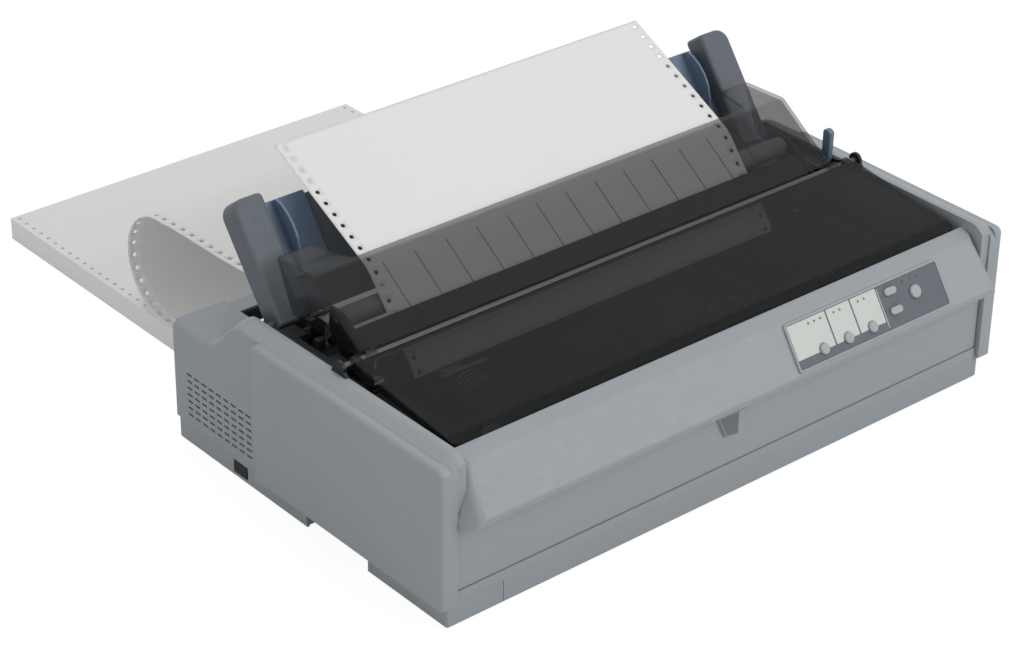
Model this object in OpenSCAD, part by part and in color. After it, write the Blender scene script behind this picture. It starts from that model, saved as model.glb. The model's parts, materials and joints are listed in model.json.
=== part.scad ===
// A wide-carriage dot matrix printer with a smoked printer cover, a smoked rear flap, a leaning paper
// guide and a web of sprocket-holed paper fed from a folded stack behind it.
// X is the width (+X right), Y the depth (-Y front), Z up from the table.

/* [Case] */
// Width over the two raised side panels
case_w = 632; // [620:1:660]
// Depth of the lower case
case_d = 366; // [360:1:376]
// Height of the side rails above the table
rail_z = 158; // [156:1:160]
// Height of the rear deck
deck_z = 118; // [116:1:119]
// Wall of the moulded cases
wall = 3; // [2.5:0.1:3.4]
// How far the side panels stand proud
panel_t = 8; // [6:0.5:9]
// Width of each side rail, from the side wall inward
rail_w = 18; // [17:0.5:20]
// Height of the chamfer along each rail's outer top edge
rail_lean = 6; // [4:0.5:8]
// Height of the lower case
lower_h = 24; // [23:0.5:26]
// How far the lower case is set in at each side
lower_inset = 10; // [9:0.5:11]
// Height of the lower case's skirt above the table
skirt_gap = 1.5; // [1:0.1:2]
// Length of the hand hold in each side
grip_len = 82; // [60:1:100]
// Radius of the rubber feet
foot_r = 9; // [7:0.5:12]

/* [Front door] */
// Height of the gap below the front door
door_z = 33.5; // [32:0.5:36]
// Height of the front door panel
door_h = 58.5; // [50:0.5:59]
// Thickness of the front door panel
door_t = 3; // [2.5:0.1:3.5]
// Radius of the door's hinge pins
door_pin_r = 1.2; // [1:0.05:1.3]

/* [Covers] */
// Radius of the steel hinge rod
rod_r = 3; // [2.5:0.1:3.5]
// Distance of the hinge rod in front of the middle
rod_y = -30.6; // [-31:0.1:-30]
// Height of the hinge rod
rod_z = 163; // [162.5:0.1:164]
// Thickness of the printer cover
cover_t = 2.5; // [2:0.1:3]
// Gap between the printer cover and each side rail
cover_gap = 7; // [6:0.5:8]
// Thickness of the rear flap
flap_t = 2.5; // [2:0.1:2.6]
// Gap between the rear flap and each side rail
flap_gap = 23.5; // [23:0.1:24]
// Number of ribs inside the rear flap
flap_ribs = 13; // [5:2:13]
// Distance from rib to rib
rib_pitch = 33; // [25:1:33]

/* [Paper guide] */
// Lean of the paper guide from the horizontal, in degrees
guide_lean = 53.13; // [52:0.1:54]
// Length of the guide's wings
wing_len = 110; // [100:1:112]
// Width of each wing
wing_w = 32; // [28:0.5:34]
// Thickness of each wing
wing_t = 22; // [18:0.5:22]
// Radius of the guide's pivot pins
guide_pin_r = 3; // [2:0.1:3.5]
// Width of each sheet edge guide
edge_w = 40; // [34:1:44]

/* [Paper] */
// Width of the sprocket-fed paper
paper_w = 406.4; // [381:0.1:406.4]
// Left edge of the paper in the tractors
paper_x = -213.4; // [-214:0.1:-213]
// Thickness given to the paper web
paper_t = 0.4; // [0.3:0.05:0.5]
// Sideways shift of the folded stack from the tractors
stack_shift = -14; // [-16:1:0]
// Length of one folded sheet
fold_len = 279.4; // [254:0.1:280]
// Height of the folded stack
stack_h = 22; // [10:1:22]
// Radius of the loop between the stack and the printer
loop_r = 52; // [51.6:0.1:52.3]
// Distance of the loop's centre behind the middle
loop_y = 322; // [312:1:330]

/* [Paper feed] */
// Radius of the rubber platen
platen_r = 18; // [17:0.1:18.2]
// Gap between the platen's end and the tension frame
platen_gap = 26; // [24:1:36]
// Radius of the platen shaft
platen_shaft_r = 5; // [4:0.1:5.5]
// Radius of the paper feed knob
knob_r = 18; // [14:0.5:19]
// How far the knob stands out of the side panel
knob_out = 16; // [12:0.5:20]
// Module of the gear teeth
gear_module = 1; // [1:0.25:1]
// Teeth of the platen gear
platen_teeth = 40; // [40:1:40]
// Teeth of the tractor gear
tractor_teeth = 35; // [35:1:35]
// Teeth of each idler gear
idler_teeth = 44; // [44:1:44]
// Teeth of the feed motor's pinion
pinion_teeth = 12; // [12:1:12]
// Width of the gears
gear_w = 7; // [5:0.5:7]
// Radius of the tractor shafts
tractor_shaft_r = 4; // [3:0.1:4.5]
// Pitch of the sprocket holes
hole_pitch = 12.7; // [12.7:0.1:12.7]
// Pins on each sprocket
sprocket_pins = 8; // [8:1:8]
// Width of each tractor
tractor_w = 24; // [20:1:25]

/* [Print head] */
// Radius of the carriage's guide shaft
guide_shaft_r = 6; // [5:0.1:6.5]
// Distance of the parked carriage from the left side frame
carriage_park = 83; // [82:1:118]
// Width of the carriage
carriage_w = 60; // [52:1:61]
// Radius of the print head's round body
head_r = 17; // [14:0.5:17]
// Width of the print head's nose
nose_w = 18; // [12:1:24]
// Radius of the carriage belt's pulleys
pulley_r = 9; // [8:0.1:9]
// Thickness of the carriage belt
belt_t = 1.5; // [1:0.1:1.5]
// Width of the carriage belt
belt_w = 5.4; // [4:0.1:5.4]

/* [Controls] */
// Width of the control panel
ctrl_w = 184; // [176:1:190]
// Height of the control panel along the slope
ctrl_h = 43; // [40:0.5:44]
// Thickness of the control panel
ctrl_t = 2; // [1.5:0.1:2.5]
// Left end of the control panel
ctrl_x = 51; // [45:1:55]
// Radius of the round buttons
round_r = 5; // [4:0.1:6]
// Travel of the buttons
button_travel = 1.2; // [0.8:0.1:1.4]
// Height of a button above the panel
button_up = 2; // [1.6:0.1:2.5]
// Gap round each button and cover
gap = 0.4; // [0.3:0.05:0.5]
// Running clearance of shafts and pins in their bores
fit = 0.05; // [0.03:0.01:0.08]
// Thickness of the release lever
lever_t = 6; // [4:0.5:6.5]
// Height of the release lever's top
lever_top = 186; // [180:1:190]

/* [Inside] */
// Thickness of the sheet steel side frames
frame_t = 3; // [2:0.5:3]
// Distance of each side frame's outer face from the side rail
frame_gap = 19; // [18.8:0.1:19.2]
// Thickness of the sheet steel base plate
base_t = 2; // [1.5:0.1:2.2]
// Thickness of the circuit board
board_t = 1.6; // [1:0.1:2]
// Radius of the screw heads
screw_r = 4; // [3:0.5:5]

/* [Hidden] */
$fn = 48;

case_grey = [0.52, 0.55, 0.57];
guide_grey = [0.36, 0.39, 0.41];
smoke = [0.10, 0.10, 0.11, 0.6];
navy = [0.13, 0.18, 0.27];
dark = [0.09, 0.10, 0.11];
steel = [0.66, 0.67, 0.68];
rubber = [0.08, 0.08, 0.08];
nylon = [0.86, 0.85, 0.80];
board_green = [0.08, 0.30, 0.18];
paper_white = [0.95, 0.95, 0.93];
button_grey = [0.70, 0.71, 0.72];

// Main planes of the case
half_w = case_w / 2;
half_d = case_d / 2;
side_x = half_w - panel_t;
rail_x = side_x - rail_w;
lower_x = half_w - lower_inset;
foot_at = [lower_x - 36, half_d - 33];
front_y = -half_d - 5;
floor_z = 3;
floor_t = 2;
screw_x = [-200, 0, 200];
screw_y = [-105, 20, 152];
opening_x = side_x - 3 * wall;
cover_x = rail_x - cover_gap;
flap_x = rail_x - flap_gap;
frame_x = rail_x - frame_gap;
inner_x = frame_x - frame_t;
supply_x = 6 - inner_x;
slot_x = flap_x - 11.5;
deck_front = 135;
slope_front = 82;
panel_rear = 60;
panel_top = 152;
skirt_front = front_y + 23;
skirt_rear = 130;
skirt_z = 110;
strip_y = -half_d + 2;
rod_bore = rod_r + fit;

// Lip across the front and the slope that carries the control panel
lip_top = [front_y + 9, 147];
lip_low = [front_y - 18, 107];
lip_nose = lip_low + [3, -8];
lip_under = [front_y + 2, 95];
lip_slope = lip_top - lip_low;
lip_lean = atan2(lip_slope[0], lip_slope[1]);
lip_len = norm(lip_slope);
lip_back = front_y + 26;
lip_seat = 150;

// Front door
door_y = -half_d - 0.5;
door_bottom = door_z + 1;
door_pivot = [door_y + door_t / 2, door_bottom + 2.5];

// Covers
cover_rear = [-38, 168];
cover_bend = [lip_back + 10, 154.2];
cover_edge = [lip_back + 0.4, 150.9];
flap_foot = [-24, 164.3];
flap_crease = [38.5, 207];
flap_rear = [88, 205];
flap_low = 158;
notch_front = 44;
notch_x = [223, 235];

// Paper guide, in its own leaning frame
guide_foot = [65.7, 152.6];
guide_pivot = [4, -wing_t / 2];
tray_z = -wing_t + 5;
tray_t = 3;
wing_out = rail_x - 11;
wing_in = wing_out - wing_w;

// Paper path
platen_c = [-8, 118];
paper_wrap = platen_r + 0.5 + paper_t / 2;
exit_angle = 50;
sheet_angle = 26.5;
sheet_ref = [52, 206.5];
sheet_len = 121;
bend_r = 40;
feed_z = 121.2;
dip_y = 90;
column_x = paper_x + 6.35;
column_far = paper_x + paper_w - 6.35;
stack_rear = 582;
stack_front = stack_rear - fold_len;

// Paper feed drive
gear_in = frame_x + 6;
gear_out = gear_in + gear_w;
tractor_c = [112, feed_z - paper_t / 2 - sprocket_pins * hole_pitch / (2 * PI)];
support_c = [tractor_c[0] + 36, tractor_c[1]];
platen_gear_r = platen_teeth * gear_module / 2;
tractor_gear_r = tractor_teeth * gear_module / 2;
idler_r = idler_teeth * gear_module / 2;
pinion_r = pinion_teeth * gear_module / 2;
idler_front = platen_c + (platen_gear_r + idler_r) * [cos(-22), sin(-22)];
idler_rear = meet(idler_front, 2 * idler_r, tractor_c, idler_r + tractor_gear_r);
motor_c = idler_front + (idler_r + pinion_r) * [cos(-102), sin(-102)];
stud_r = 3;

// Print head and belt
guide_c = [-70, 90];
belt_y = -100;
belt_z = 88;
pulley_x = inner_x - 26;
carriage_x = carriage_park - inner_x;
rail_top = 79;
board_z = 20;
plate_z = 11;
plate_top = plate_z + base_t;
plate_front = -half_d + 58;
plate_rear = half_d - 18;
tension_c = [24, 168];
exit_r = 9;
tension_x = inner_x - 17;
platen_half = tension_x - platen_gap;
cart_front = -158;
cart_rear = -126;
cart_z = 100;
cart_top = 124;
arm_x = tension_x - 13;
arm_w = 18;

// Upper meeting point of two circles, given as their centres and radii
function meet(p, pr, q, qr) = let (d = norm(q - p), u = (q - p) / d,
    a = (pr * pr - qr * qr + d * d) / (2 * d))
    p + a * u + sqrt(pr * pr - a * a) * [u[1], -u[0]];
function arc(c, r, a0, a1, n) = [for (i = [0 : n]) let (a = a0 + (a1 - a0) * i / n) c + r * [cos(a), sin(a)]];
function drop(pts, d) = [for (p = pts) [p[0], p[1] - d]];
function back(pts) = [for (i = [len(pts) - 1 : -1 : 0]) pts[i]];

// Side outline of the case, from the front corner over the rail to the rear
slope_pts = [for (i = [0 : 8]) let (t = i / 8)
    [slope_front + (deck_front - slope_front) * t, deck_z + (rail_z - deck_z) * (1 + cos(180 * t)) / 2]];
top_pts = concat([[front_y, panel_top - 4], [front_y + 4, rail_z - 3], [front_y + 12, rail_z]], slope_pts,
    [[half_d, deck_z]]);
side_pts = concat([[front_y, lower_h]], top_pts, [[half_d, lower_h]]);

// Solid with a side outline, spread across from x0 to x1
module across(x0, x1) {
    translate([x0, 0, 0])
        rotate([90, 0, 90])
            linear_extrude(height = x1 - x0)
                children();
}

// Rod along X at a point of the side view
module rod(x0, x1, c, r) {
    translate([x0, c[0], c[1]])
        rotate([0, 90, 0])
            cylinder(h = x1 - x0, r = r);
}

// Block between two corners
module block(x0, x1, y0, y1, z0, z1) {
    translate([x0, y0, z0])
        cube([x1 - x0, y1 - y0, z1 - z0]);
}

// The same piece on the left and on the right
module both_sides() {
    children();
    mirror([1, 0, 0])
        children();
}

// Moves a piece onto the lip's slope: X along the panel, Y up the slope, Z out of it
module on_slope() {
    translate([ctrl_x, lip_low[0], lip_low[1]])
        rotate([90 - lip_lean, 0, 0])
            translate([0, 2.5, 0])
                children();
}

// Moves a piece into the paper guide's leaning frame: Y up the guide, Z out of its front
module on_guide() {
    translate([0, guide_foot[0], guide_foot[1]])
        rotate([guide_lean, 0, 0])
            children();
}

// Toothed wheel outline
module gear_outline(teeth) {
    outer = teeth * gear_module / 2 - 0.2;
    root = outer - gear_module;
    polygon([for (i = [0 : teeth - 1]) for (k = [0 : 3])
        (k < 2 ? root : outer) * [cos(360 * (i + [-0.28, 0.02, 0.14, 0.58][k] + 0.1) / teeth),
            sin(360 * (i + [-0.28, 0.02, 0.14, 0.58][k] + 0.1) / teeth)]]);
}

// Gear on an axle along X, on the left side of the machine
module gear(c, teeth, bore) {
    translate([-gear_out, c[0], c[1]])
        rotate([90, 0, 90])
            difference() {
                linear_extrude(height = gear_w)
                    gear_outline(teeth);
                translate([0, 0, -1])
                    cylinder(h = gear_w + 2, r = bore);
            }
}

module lower_case() {
    grip_y = -grip_len;
    color(case_grey)
        difference() {
            union() {
                difference() {
                    block(-lower_x, lower_x, -half_d, half_d, skirt_gap, lower_h);
                    for (z = [[0, floor_z], [floor_z + floor_t, lower_h + 1]])
                        block(-lower_x + wall, lower_x - wall, -half_d + wall, half_d - wall, z[0], z[1]);
                }
                both_sides()
                    block(lower_x - 16, lower_x, grip_y - wall, wall, floor_z, lower_h);
                for (x = screw_x, y = screw_y)
                    translate([x, y, floor_z])
                        cylinder(h = plate_z - floor_z, r = 7);
                block(-lower_x, -lower_x + 9, 79, 105.5, 18, 20);
            }
            both_sides()
                block(lower_x - 16 + wall, lower_x + 1, grip_y, 0, 0, lower_h - wall);
            block(-lower_x - 1, -lower_x + wall + 1, 82, 102.5, 5.5, 18);
            for (x = screw_x, y = screw_y)
                translate([x, y, floor_z - 1])
                    cylinder(h = plate_z, r = 1.5);
            translate([-lower_x + 6, 92.25, 0])
                cylinder(h = 30, r = 1 + fit);
        }
}

module feet() {
    color(rubber)
        for (c = [[0, 0], [-foot_at[0], -foot_at[1]], [foot_at[0], -foot_at[1]],
            [-foot_at[0], foot_at[1]], foot_at])
            translate([c[0], c[1], 0])
                cylinder(h = floor_z, r = foot_r);
}

// Room under the rails' chamfered tops, as a block along Y
module rail_roof() {
    translate([0, half_d + 1, 0])
        rotate([90, 0, 0])
            linear_extrude(height = half_d + 1 - front_y + 1)
                polygon([[rail_x, lower_h], [side_x, lower_h], [side_x, rail_z - rail_lean],
                    [side_x - 2 * rail_lean, rail_z], [rail_x, rail_z]]);
}

// Ear that carries the end of the hinge rod above a rail's top
module rod_ear() {
    r = rod_r + 4;
    polygon(concat(arc([rod_y, rod_z], r, -10, 190, 16), [[rod_y - r - 2, skirt_z], [rod_y + r + 2, skirt_z]]));
}

module vents() {
    for (row = [0 : 6], k = [0 : 8])
        translate([-side_x - 1, 72 + k * 10.6, 32.5 + row * 6.6])
            cube([wall + 2, 7.4, 2.2]);
}

module upper_case() {
    color(case_grey)
        difference() {
            union() {
                both_sides() {
                    intersection() {
                        union() {
                            across(side_x - wall, side_x)
                                polygon(side_pts);
                            across(side_x - 2 * rail_lean, side_x)
                                polygon(concat(top_pts, back(drop(top_pts, wall + rail_lean))));
                            across(rail_x, side_x)
                                polygon(concat(top_pts, back(drop(top_pts, wall))));
                        }
                        rail_roof();
                    }
                    across(side_x - 0.5, half_w)
                        polygon([[front_y, lower_h], [front_y, panel_top - 6], [front_y + 6, panel_top],
                            [panel_rear - 4, panel_top], [panel_rear, panel_top - 4], [panel_rear, lower_h]]);
                    across(rail_x, rail_x + wall)
                        rod_ear();
                    across(rail_x, rail_x + wall)
                        intersection() {
                            polygon(side_pts);
                            translate([skirt_front, skirt_z])
                                square([skirt_rear - skirt_front, rail_z - skirt_z]);
                        }
                    block(opening_x, side_x, front_y, front_y + wall, lower_h, panel_top - 4);
                    block(opening_x, opening_x + wall, front_y, front_y + 20, lower_h, skirt_z + 10);
                    block(slot_x, rail_x, deck_front, half_d, deck_z - wall, deck_z);
                    block(slot_x, slot_x + wall, deck_front, half_d, skirt_z, deck_z);
                    block(slot_x, side_x - wall, half_d - wall, half_d, lower_h, deck_z);
                    across(opening_x - wall, opening_x)
                        polygon([[lip_back, lip_seat], lip_top, lip_low, lip_nose, lip_under,
                            [lip_back, 110]]);
                    block(lower_x - 8, side_x - wall, front_y + wall, half_d - wall, lower_h, lower_h + wall);
                }
                across(-opening_x + 1, opening_x - 1)
                    polygon([[lip_back, lip_seat], lip_top, lip_low, lip_nose, lip_under,
                        lip_under + [0, wall], lip_nose + [2, 2.5], lip_low + [3.5, 0],
                        lip_top + [1.5, -3.1], [lip_back - wall, lip_seat - 4],
                        [lip_back - wall, lip_seat - 30], [lip_back, lip_seat - 30]]);
                block(-opening_x, opening_x, strip_y, strip_y + wall, lower_h, door_z);
                block(-slot_x, slot_x, half_d - wall, half_d, lower_h, deck_z - 5);
                block(-slot_x, slot_x, half_d - 18, half_d, deck_z - 8, deck_z - 5);
            }
            vents();
            on_slope()
                translate([4, 4, -8])
                    cube([ctrl_w - 8, ctrl_h - 8, 12]);
            both_sides() {
                rod(rail_x - 1, rail_x + wall + 1, [rod_y, rod_z], rod_bore);
                rod(opening_x - 1, opening_x + wall + 1, door_pivot, door_pin_r + fit);
            }
            both_sides()
                translate([0, guide_foot[0], guide_foot[1]])
                    rotate([guide_lean, 0, 0])
                        translate([rail_x - 1, guide_pivot[0], guide_pivot[1]])
                            rotate([0, 90, 0])
                                cylinder(h = wall + 2, r = guide_pin_r + fit);
            rod(rail_x - 1, half_w + 1, platen_c, platen_shaft_r + 1.5);
            block(208, 240, half_d - wall - 1, half_d + 1, 34, 58);
            block(-42, 32, half_d - wall - 1, half_d + 1, 25, 43);
        }
}

module front_door() {
    color(case_grey)
        union() {
            block(-opening_x + 1, opening_x - 1, door_y, door_y + door_t, door_bottom, door_bottom + door_h);
            across(-31, -7)
                polygon([[door_y + 1, door_bottom + 43], [door_y + 1, door_bottom + door_h],
                    [door_y - 3.5, door_bottom + door_h], [door_y - 3.5, door_bottom + 47]]);
            both_sides()
                rod(opening_x - 2, opening_x + 2.5, door_pivot, door_pin_r);
        }
}

module printer_cover() {
    outer = [cover_edge, cover_bend, cover_rear];
    color(smoke)
        difference() {
            union() {
                across(-cover_x, cover_x)
                    polygon(concat(outer, back(drop(outer, cover_t))));
                both_sides() {
                    across(cover_x - cover_t, cover_x)
                        polygon([cover_edge, cover_bend, cover_rear, cover_rear - [0, 9], cover_bend - [0, 6],
                            cover_edge - [0, cover_t]]);
                    across(cover_x - 10, cover_x - 2)
                        polygon([cover_rear - [6, 0.8], cover_rear, [rod_y, rod_z + 5], [rod_y, rod_z - 5],
                            cover_rear - [0, 9], cover_rear - [6, 9]]);
                    rod(cover_x - 10, cover_x - 2, [rod_y, rod_z], rod_r + 2.5);
                }
            }
            rod(-cover_x - 1, cover_x + 1, [rod_y, rod_z], rod_bore);
        }
}

// Rear flap: leaning face, flat roof with a notch for the paper, side walls, ribs and hinge eyes
module guide_flap() {
    face_top = [flap_foot, flap_crease, flap_rear];
    face_low = [flap_rear - [0, flap_t], flap_crease - [-0.8, flap_t], flap_foot - [-0.6, flap_t + 0.6]];
    lean = atan2(flap_crease[1] - flap_foot[1], flap_crease[0] - flap_foot[0]);
    color(smoke)
        difference() {
            union() {
                across(-flap_x, flap_x)
                    polygon(concat(face_top, face_low));
                both_sides() {
                    across(flap_x - flap_t, flap_x)
                        polygon([flap_foot, flap_crease, flap_rear, [68, flap_low], [-10, flap_low]]);
                    across(flap_x - 10, flap_x)
                        polygon([flap_foot + [1.4, 1], [rod_y, rod_z + 5], [rod_y, rod_z - 5],
                            [-14, flap_low + 2]]);
                    rod(flap_x - 10, flap_x, [rod_y, rod_z], rod_r + 2.5);
                }
                for (i = [0 : flap_ribs - 1])
                    translate([(i - (flap_ribs - 1) / 2) * rib_pitch - 0.8, flap_foot[0], flap_foot[1]])
                        rotate([lean, 0, 0])
                            translate([0, 14, -flap_t - 2])
                                cube([1.6, 54, 2.4]);
            }
            translate([0, 0, flap_rear[1] - 10])
                linear_extrude(height = 20)
                    polygon([[-notch_x[0], notch_front], [notch_x[0], notch_front],
                        [notch_x[1], flap_rear[0] + 1], [-notch_x[1], flap_rear[0] + 1]]);
            rod(-flap_x - 1, flap_x + 1, [rod_y, rod_z], rod_bore);
        }
}

module hinge_rod() {
    color(steel)
        rod(-rail_x - wall, rail_x + wall, [rod_y, rod_z], rod_r);
}

module wing_outline(inset) {
    r = 12 - inset;
    w = wing_w - 2 * inset;
    l = wing_len - 2 * inset;
    translate([wing_in + inset, inset])
        polygon(concat([[0, 0], [w, 0]], arc([w - r, l - r], r, 0, 90, 6), [[0, l]]));
}

module paper_guide() {
    color(guide_grey)
        on_guide()
            union() {
                both_sides() {
                    difference() {
                        translate([0, 0, -wing_t])
                            linear_extrude(height = wing_t)
                                wing_outline(0);
                        translate([0, 0, -wing_t - 1])
                            linear_extrude(height = wing_t - 1.5)
                                wing_outline(2.5);
                    }
                    translate([wing_out - 3, guide_pivot[0], guide_pivot[1]])
                        rotate([0, 90, 0])
                            cylinder(h = rail_x + wall - wing_out + 2.5, r = guide_pin_r);
                }
                translate([-wing_in, 2, tray_z - tray_t])
                    cube([2 * wing_in, wing_len - 14, tray_t]);
                for (x = [-200 : 50 : 200])
                    translate([x - 1, 6, tray_z - tray_t - 2])
                        cube([2, wing_len - 24, 2.5]);
            }
}

// Sheet edge guide: a plate in front of the tray with an upright fin and a hook over the tray's edge
module edge_guide(x0) {
    top = wing_len - 12 + gap;
    color(navy)
        on_guide()
            translate([x0, 0, 0])
                union() {
                    translate([0, 34, tray_z + gap])
                        cube([edge_w, top - 34 + 2.6, 2.6]);
                    translate([0, top, tray_z - tray_t - gap - 2])
                        cube([edge_w, 2.6, tray_t + 2 * gap + 4]);
                    translate([0, top - 6, tray_z - tray_t - gap - 2.6])
                        cube([edge_w, 7, 2]);
                    translate([7, 0, 0])
                        rotate([90, 0, 90])
                            linear_extrude(height = 2.4)
                                polygon([[36, tray_z + 2], [100, tray_z + 2], [100, -8], [95, -3], [86, 1],
                                    [75, 3], [64, 2], [52, -3], [42, -9]]);
                }
}

module edge_guide_left() {
    edge_guide(-wing_in + 6);
}

module edge_guide_right() {
    mirror([1, 0, 0])
        edge_guide(-wing_in + 6);
}

// Places of the buttons on the panel: three round ones, two ovals and a larger round one
fields = [33, 62, 91];
button_y = 11;
oval_x = 122;
oval_y = [33, 16];
big_x = 149;

module round_hole(x, y, r) {
    translate([x, y, -2])
        cylinder(h = 8, r = r);
}

module oval(x, y, r, h) {
    translate([x, y, 0]) {
        for (s = [-3.5, 3.5])
            translate([s, 0, 0])
                cylinder(h = h, r = r);
        translate([-3.5, -r, 0])
            cube([7, 2 * r, h]);
    }
}

module control_panel() {
    color(dark)
        on_slope()
            difference() {
                cube([ctrl_w, ctrl_h, ctrl_t]);
                for (x = fields)
                    round_hole(x, button_y, round_r + gap);
                round_hole(big_x, button_y + 13, round_r + 1 + gap);
                for (y = oval_y)
                    translate([0, 0, -2])
                        oval(oval_x, y, 3.5 + gap, 8);
            }
}

module panel_lamps() {
    color([0.2, 0.6, 0.25])
        on_slope()
            for (x = [26, 33, 40, 56, 63, 85, 92, 140, 149, 158])
                translate([x, 36, ctrl_t])
                    cylinder(h = 0.5, r = 1);
}

// Push button: cap, stem through the panel and a flange behind it
module button_round_at(x, y, r) {
    color(button_grey)
        on_slope()
            translate([x, y, 0]) {
                translate([0, 0, -1])
                    cylinder(h = 1 + ctrl_t + button_up, r = r);
                translate([0, 0, -2.1])
                    cylinder(h = 1.8, r = r + 1.5);
            }
}

module button_oval_at(y) {
    color(button_grey)
        on_slope() {
            translate([0, 0, -1])
                oval(oval_x, y, 3.5, 1 + ctrl_t + button_up);
            translate([0, 0, -2.1])
                oval(oval_x, y, 4.6, 1.8);
        }
}

module button_left() {
    button_round_at(fields[0], button_y, round_r);
}

module button_middle() {
    button_round_at(fields[1], button_y, round_r);
}

module button_right() {
    button_round_at(fields[2], button_y, round_r);
}

module button_round() {
    button_round_at(big_x, button_y + 13, round_r + 1);
}

module button_oval_top() {
    button_oval_at(oval_y[0]);
}

module button_oval_low() {
    button_oval_at(oval_y[1]);
}

// Rocker of the power switch, on an upright pin behind the lower case's left wall
module power_switch() {
    color(dark)
        union() {
            block(-lower_x - 0.5, -lower_x + 4, 83, 101.5, 6, 17.5);
            translate([-lower_x + 6, 92.25, 6])
                cylinder(h = 11.5, r = 3);
            translate([-lower_x + 6, 92.25, floor_z])
                cylinder(h = 16.5, r = 1);
        }
}

module power_inlet() {
    color(dark)
        difference() {
            union() {
                block(208.5, 239.5, half_d - 22, half_d, 34.5, 57.5);
                block(203, 245, half_d, half_d + 2, 31, 61);
            }
            block(212, 236, half_d - 16, half_d + 3, 38, 54);
        }
}

module interface_port() {
    color(steel)
        difference() {
            union() {
                block(-40, 30, plate_rear - 12, half_d - wall - 0.5, board_z + board_t, 41);
                block(-38, 28, half_d - wall - 1, half_d + 1, lower_h + 2, 41);
            }
            block(-36, 26, half_d - 8, half_d + 2, 27, 37);
        }
}

module base_frame() {
    color(steel)
        difference() {
            union() {
                block(-frame_x, frame_x, plate_front, plate_rear, plate_z, plate_top);
                block(-inner_x + 1, inner_x - 1, plate_front + 3, plate_front + 5, plate_top, rail_top);
                block(-inner_x + 1, inner_x - 1, plate_front + 3, plate_front + 19, rail_top - 2, rail_top);
                for (x = [-110, 230], y = [-10, 140])
                    translate([x, y, plate_top])
                        cylinder(h = board_z - plate_top, r = 3);
                translate([-pulley_x, belt_y, plate_top])
                    cylinder(h = belt_z + belt_w + 4 - plate_top, r = stud_r);
            }
            for (x = screw_x, y = screw_y)
                translate([x, y, plate_z - 1])
                    cylinder(h = 4, r = 2);
        }
}

// Side frame outline with the bores that its side of the machine needs
module side_frame(x0, idlers) {
    outline = [[plate_front, plate_top], [plate_front, 88], [-122, cart_z], [-96, cart_z], [-60, 106],
        [-30, 138], [26, 140], [40, 126], [95, 118], [deck_front - 5, 114], [plate_rear - 6, 113],
        [plate_rear, 108], [plate_rear, plate_top]];
    difference() {
        across(x0, x0 + frame_t)
            polygon(outline);
        rod(x0 - 1, x0 + frame_t + 1, platen_c, platen_shaft_r + fit);
        rod(x0 - 1, x0 + frame_t + 1, guide_c, guide_shaft_r + fit);
        rod(x0 - 1, x0 + frame_t + 1, tractor_c, tractor_shaft_r + fit);
        rod(x0 - 1, x0 + frame_t + 1, support_c, tractor_shaft_r + fit);
        if (idlers)
            rod(x0 - 1, x0 + frame_t + 1, motor_c, 4);
    }
}

module side_frame_left() {
    color(steel) {
        side_frame(-frame_x, true);
        rod(-gear_out - 1, -frame_x, idler_front, stud_r);
        rod(-gear_out - 1, -frame_x, idler_rear, stud_r);
        rod(-frame_x - 5.4, -frame_x, gap_c, stud_r);
    }
}

module side_frame_right() {
    color(steel) {
        side_frame(inner_x, false);
        rod(frame_x, frame_x + 16, lever_c, stud_r);
    }
}

module platen() {
    color(rubber)
        difference() {
            rod(-platen_half, platen_half, platen_c, platen_r);
            rod(-platen_half - 1, platen_half + 1, platen_c, platen_shaft_r);
        }
}

module platen_shaft() {
    color(steel)
        rod(-gear_out, half_w + knob_out - 2, platen_c, platen_shaft_r);
}

module platen_gear() {
    color(nylon)
        gear(platen_c, platen_teeth, platen_shaft_r);
}

module paper_knob() {
    knob_x = half_w + 0.6;
    color(dark)
        difference() {
            union() {
                rod(knob_x, knob_x + knob_out, platen_c, knob_r - 1);
                for (a = [0 : 15 : 345])
                    rod(knob_x, knob_x + knob_out, platen_c + (knob_r - 1.4) * [cos(a), sin(a)], 1.4);
            }
            rod(knob_x - 1, half_w + knob_out - 2, platen_c, platen_shaft_r);
        }
}

module idler_gear_front() {
    color(nylon)
        gear(idler_front, idler_teeth, stud_r + fit);
}

module idler_gear_rear() {
    color(nylon)
        gear(idler_rear, idler_teeth, stud_r + fit);
}

module feed_motor() {
    color(steel)
        difference() {
            union() {
                rod(-inner_x, -inner_x + 38, motor_c, 20);
                across(-inner_x, -inner_x + 2)
                    translate(motor_c)
                        square([52, 30], center = true);
            }
            rod(-inner_x - 1, -inner_x + 12, motor_c, 2.5 + fit);
        }
}

module motor_pinion() {
    color(nylon)
        union() {
            gear(motor_c, pinion_teeth, 2);
            rod(-gear_out, -inner_x + 10, motor_c, 2.5);
        }
}

module tractor_shaft() {
    color(steel)
        rod(-gear_out, frame_x, tractor_c, tractor_shaft_r);
}

module tractor_gear() {
    color(nylon)
        gear(tractor_c, tractor_teeth, tractor_shaft_r);
}

module support_shaft() {
    color(steel)
        rod(-frame_x, frame_x, support_c, tractor_shaft_r);
}

// Places across the tractor, counted from its column of pins: outer is away from the paper
lid_pin_x = -16;
lid_pin_z = feed_z + 0.6;
lid_y = [103, 157];

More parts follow.
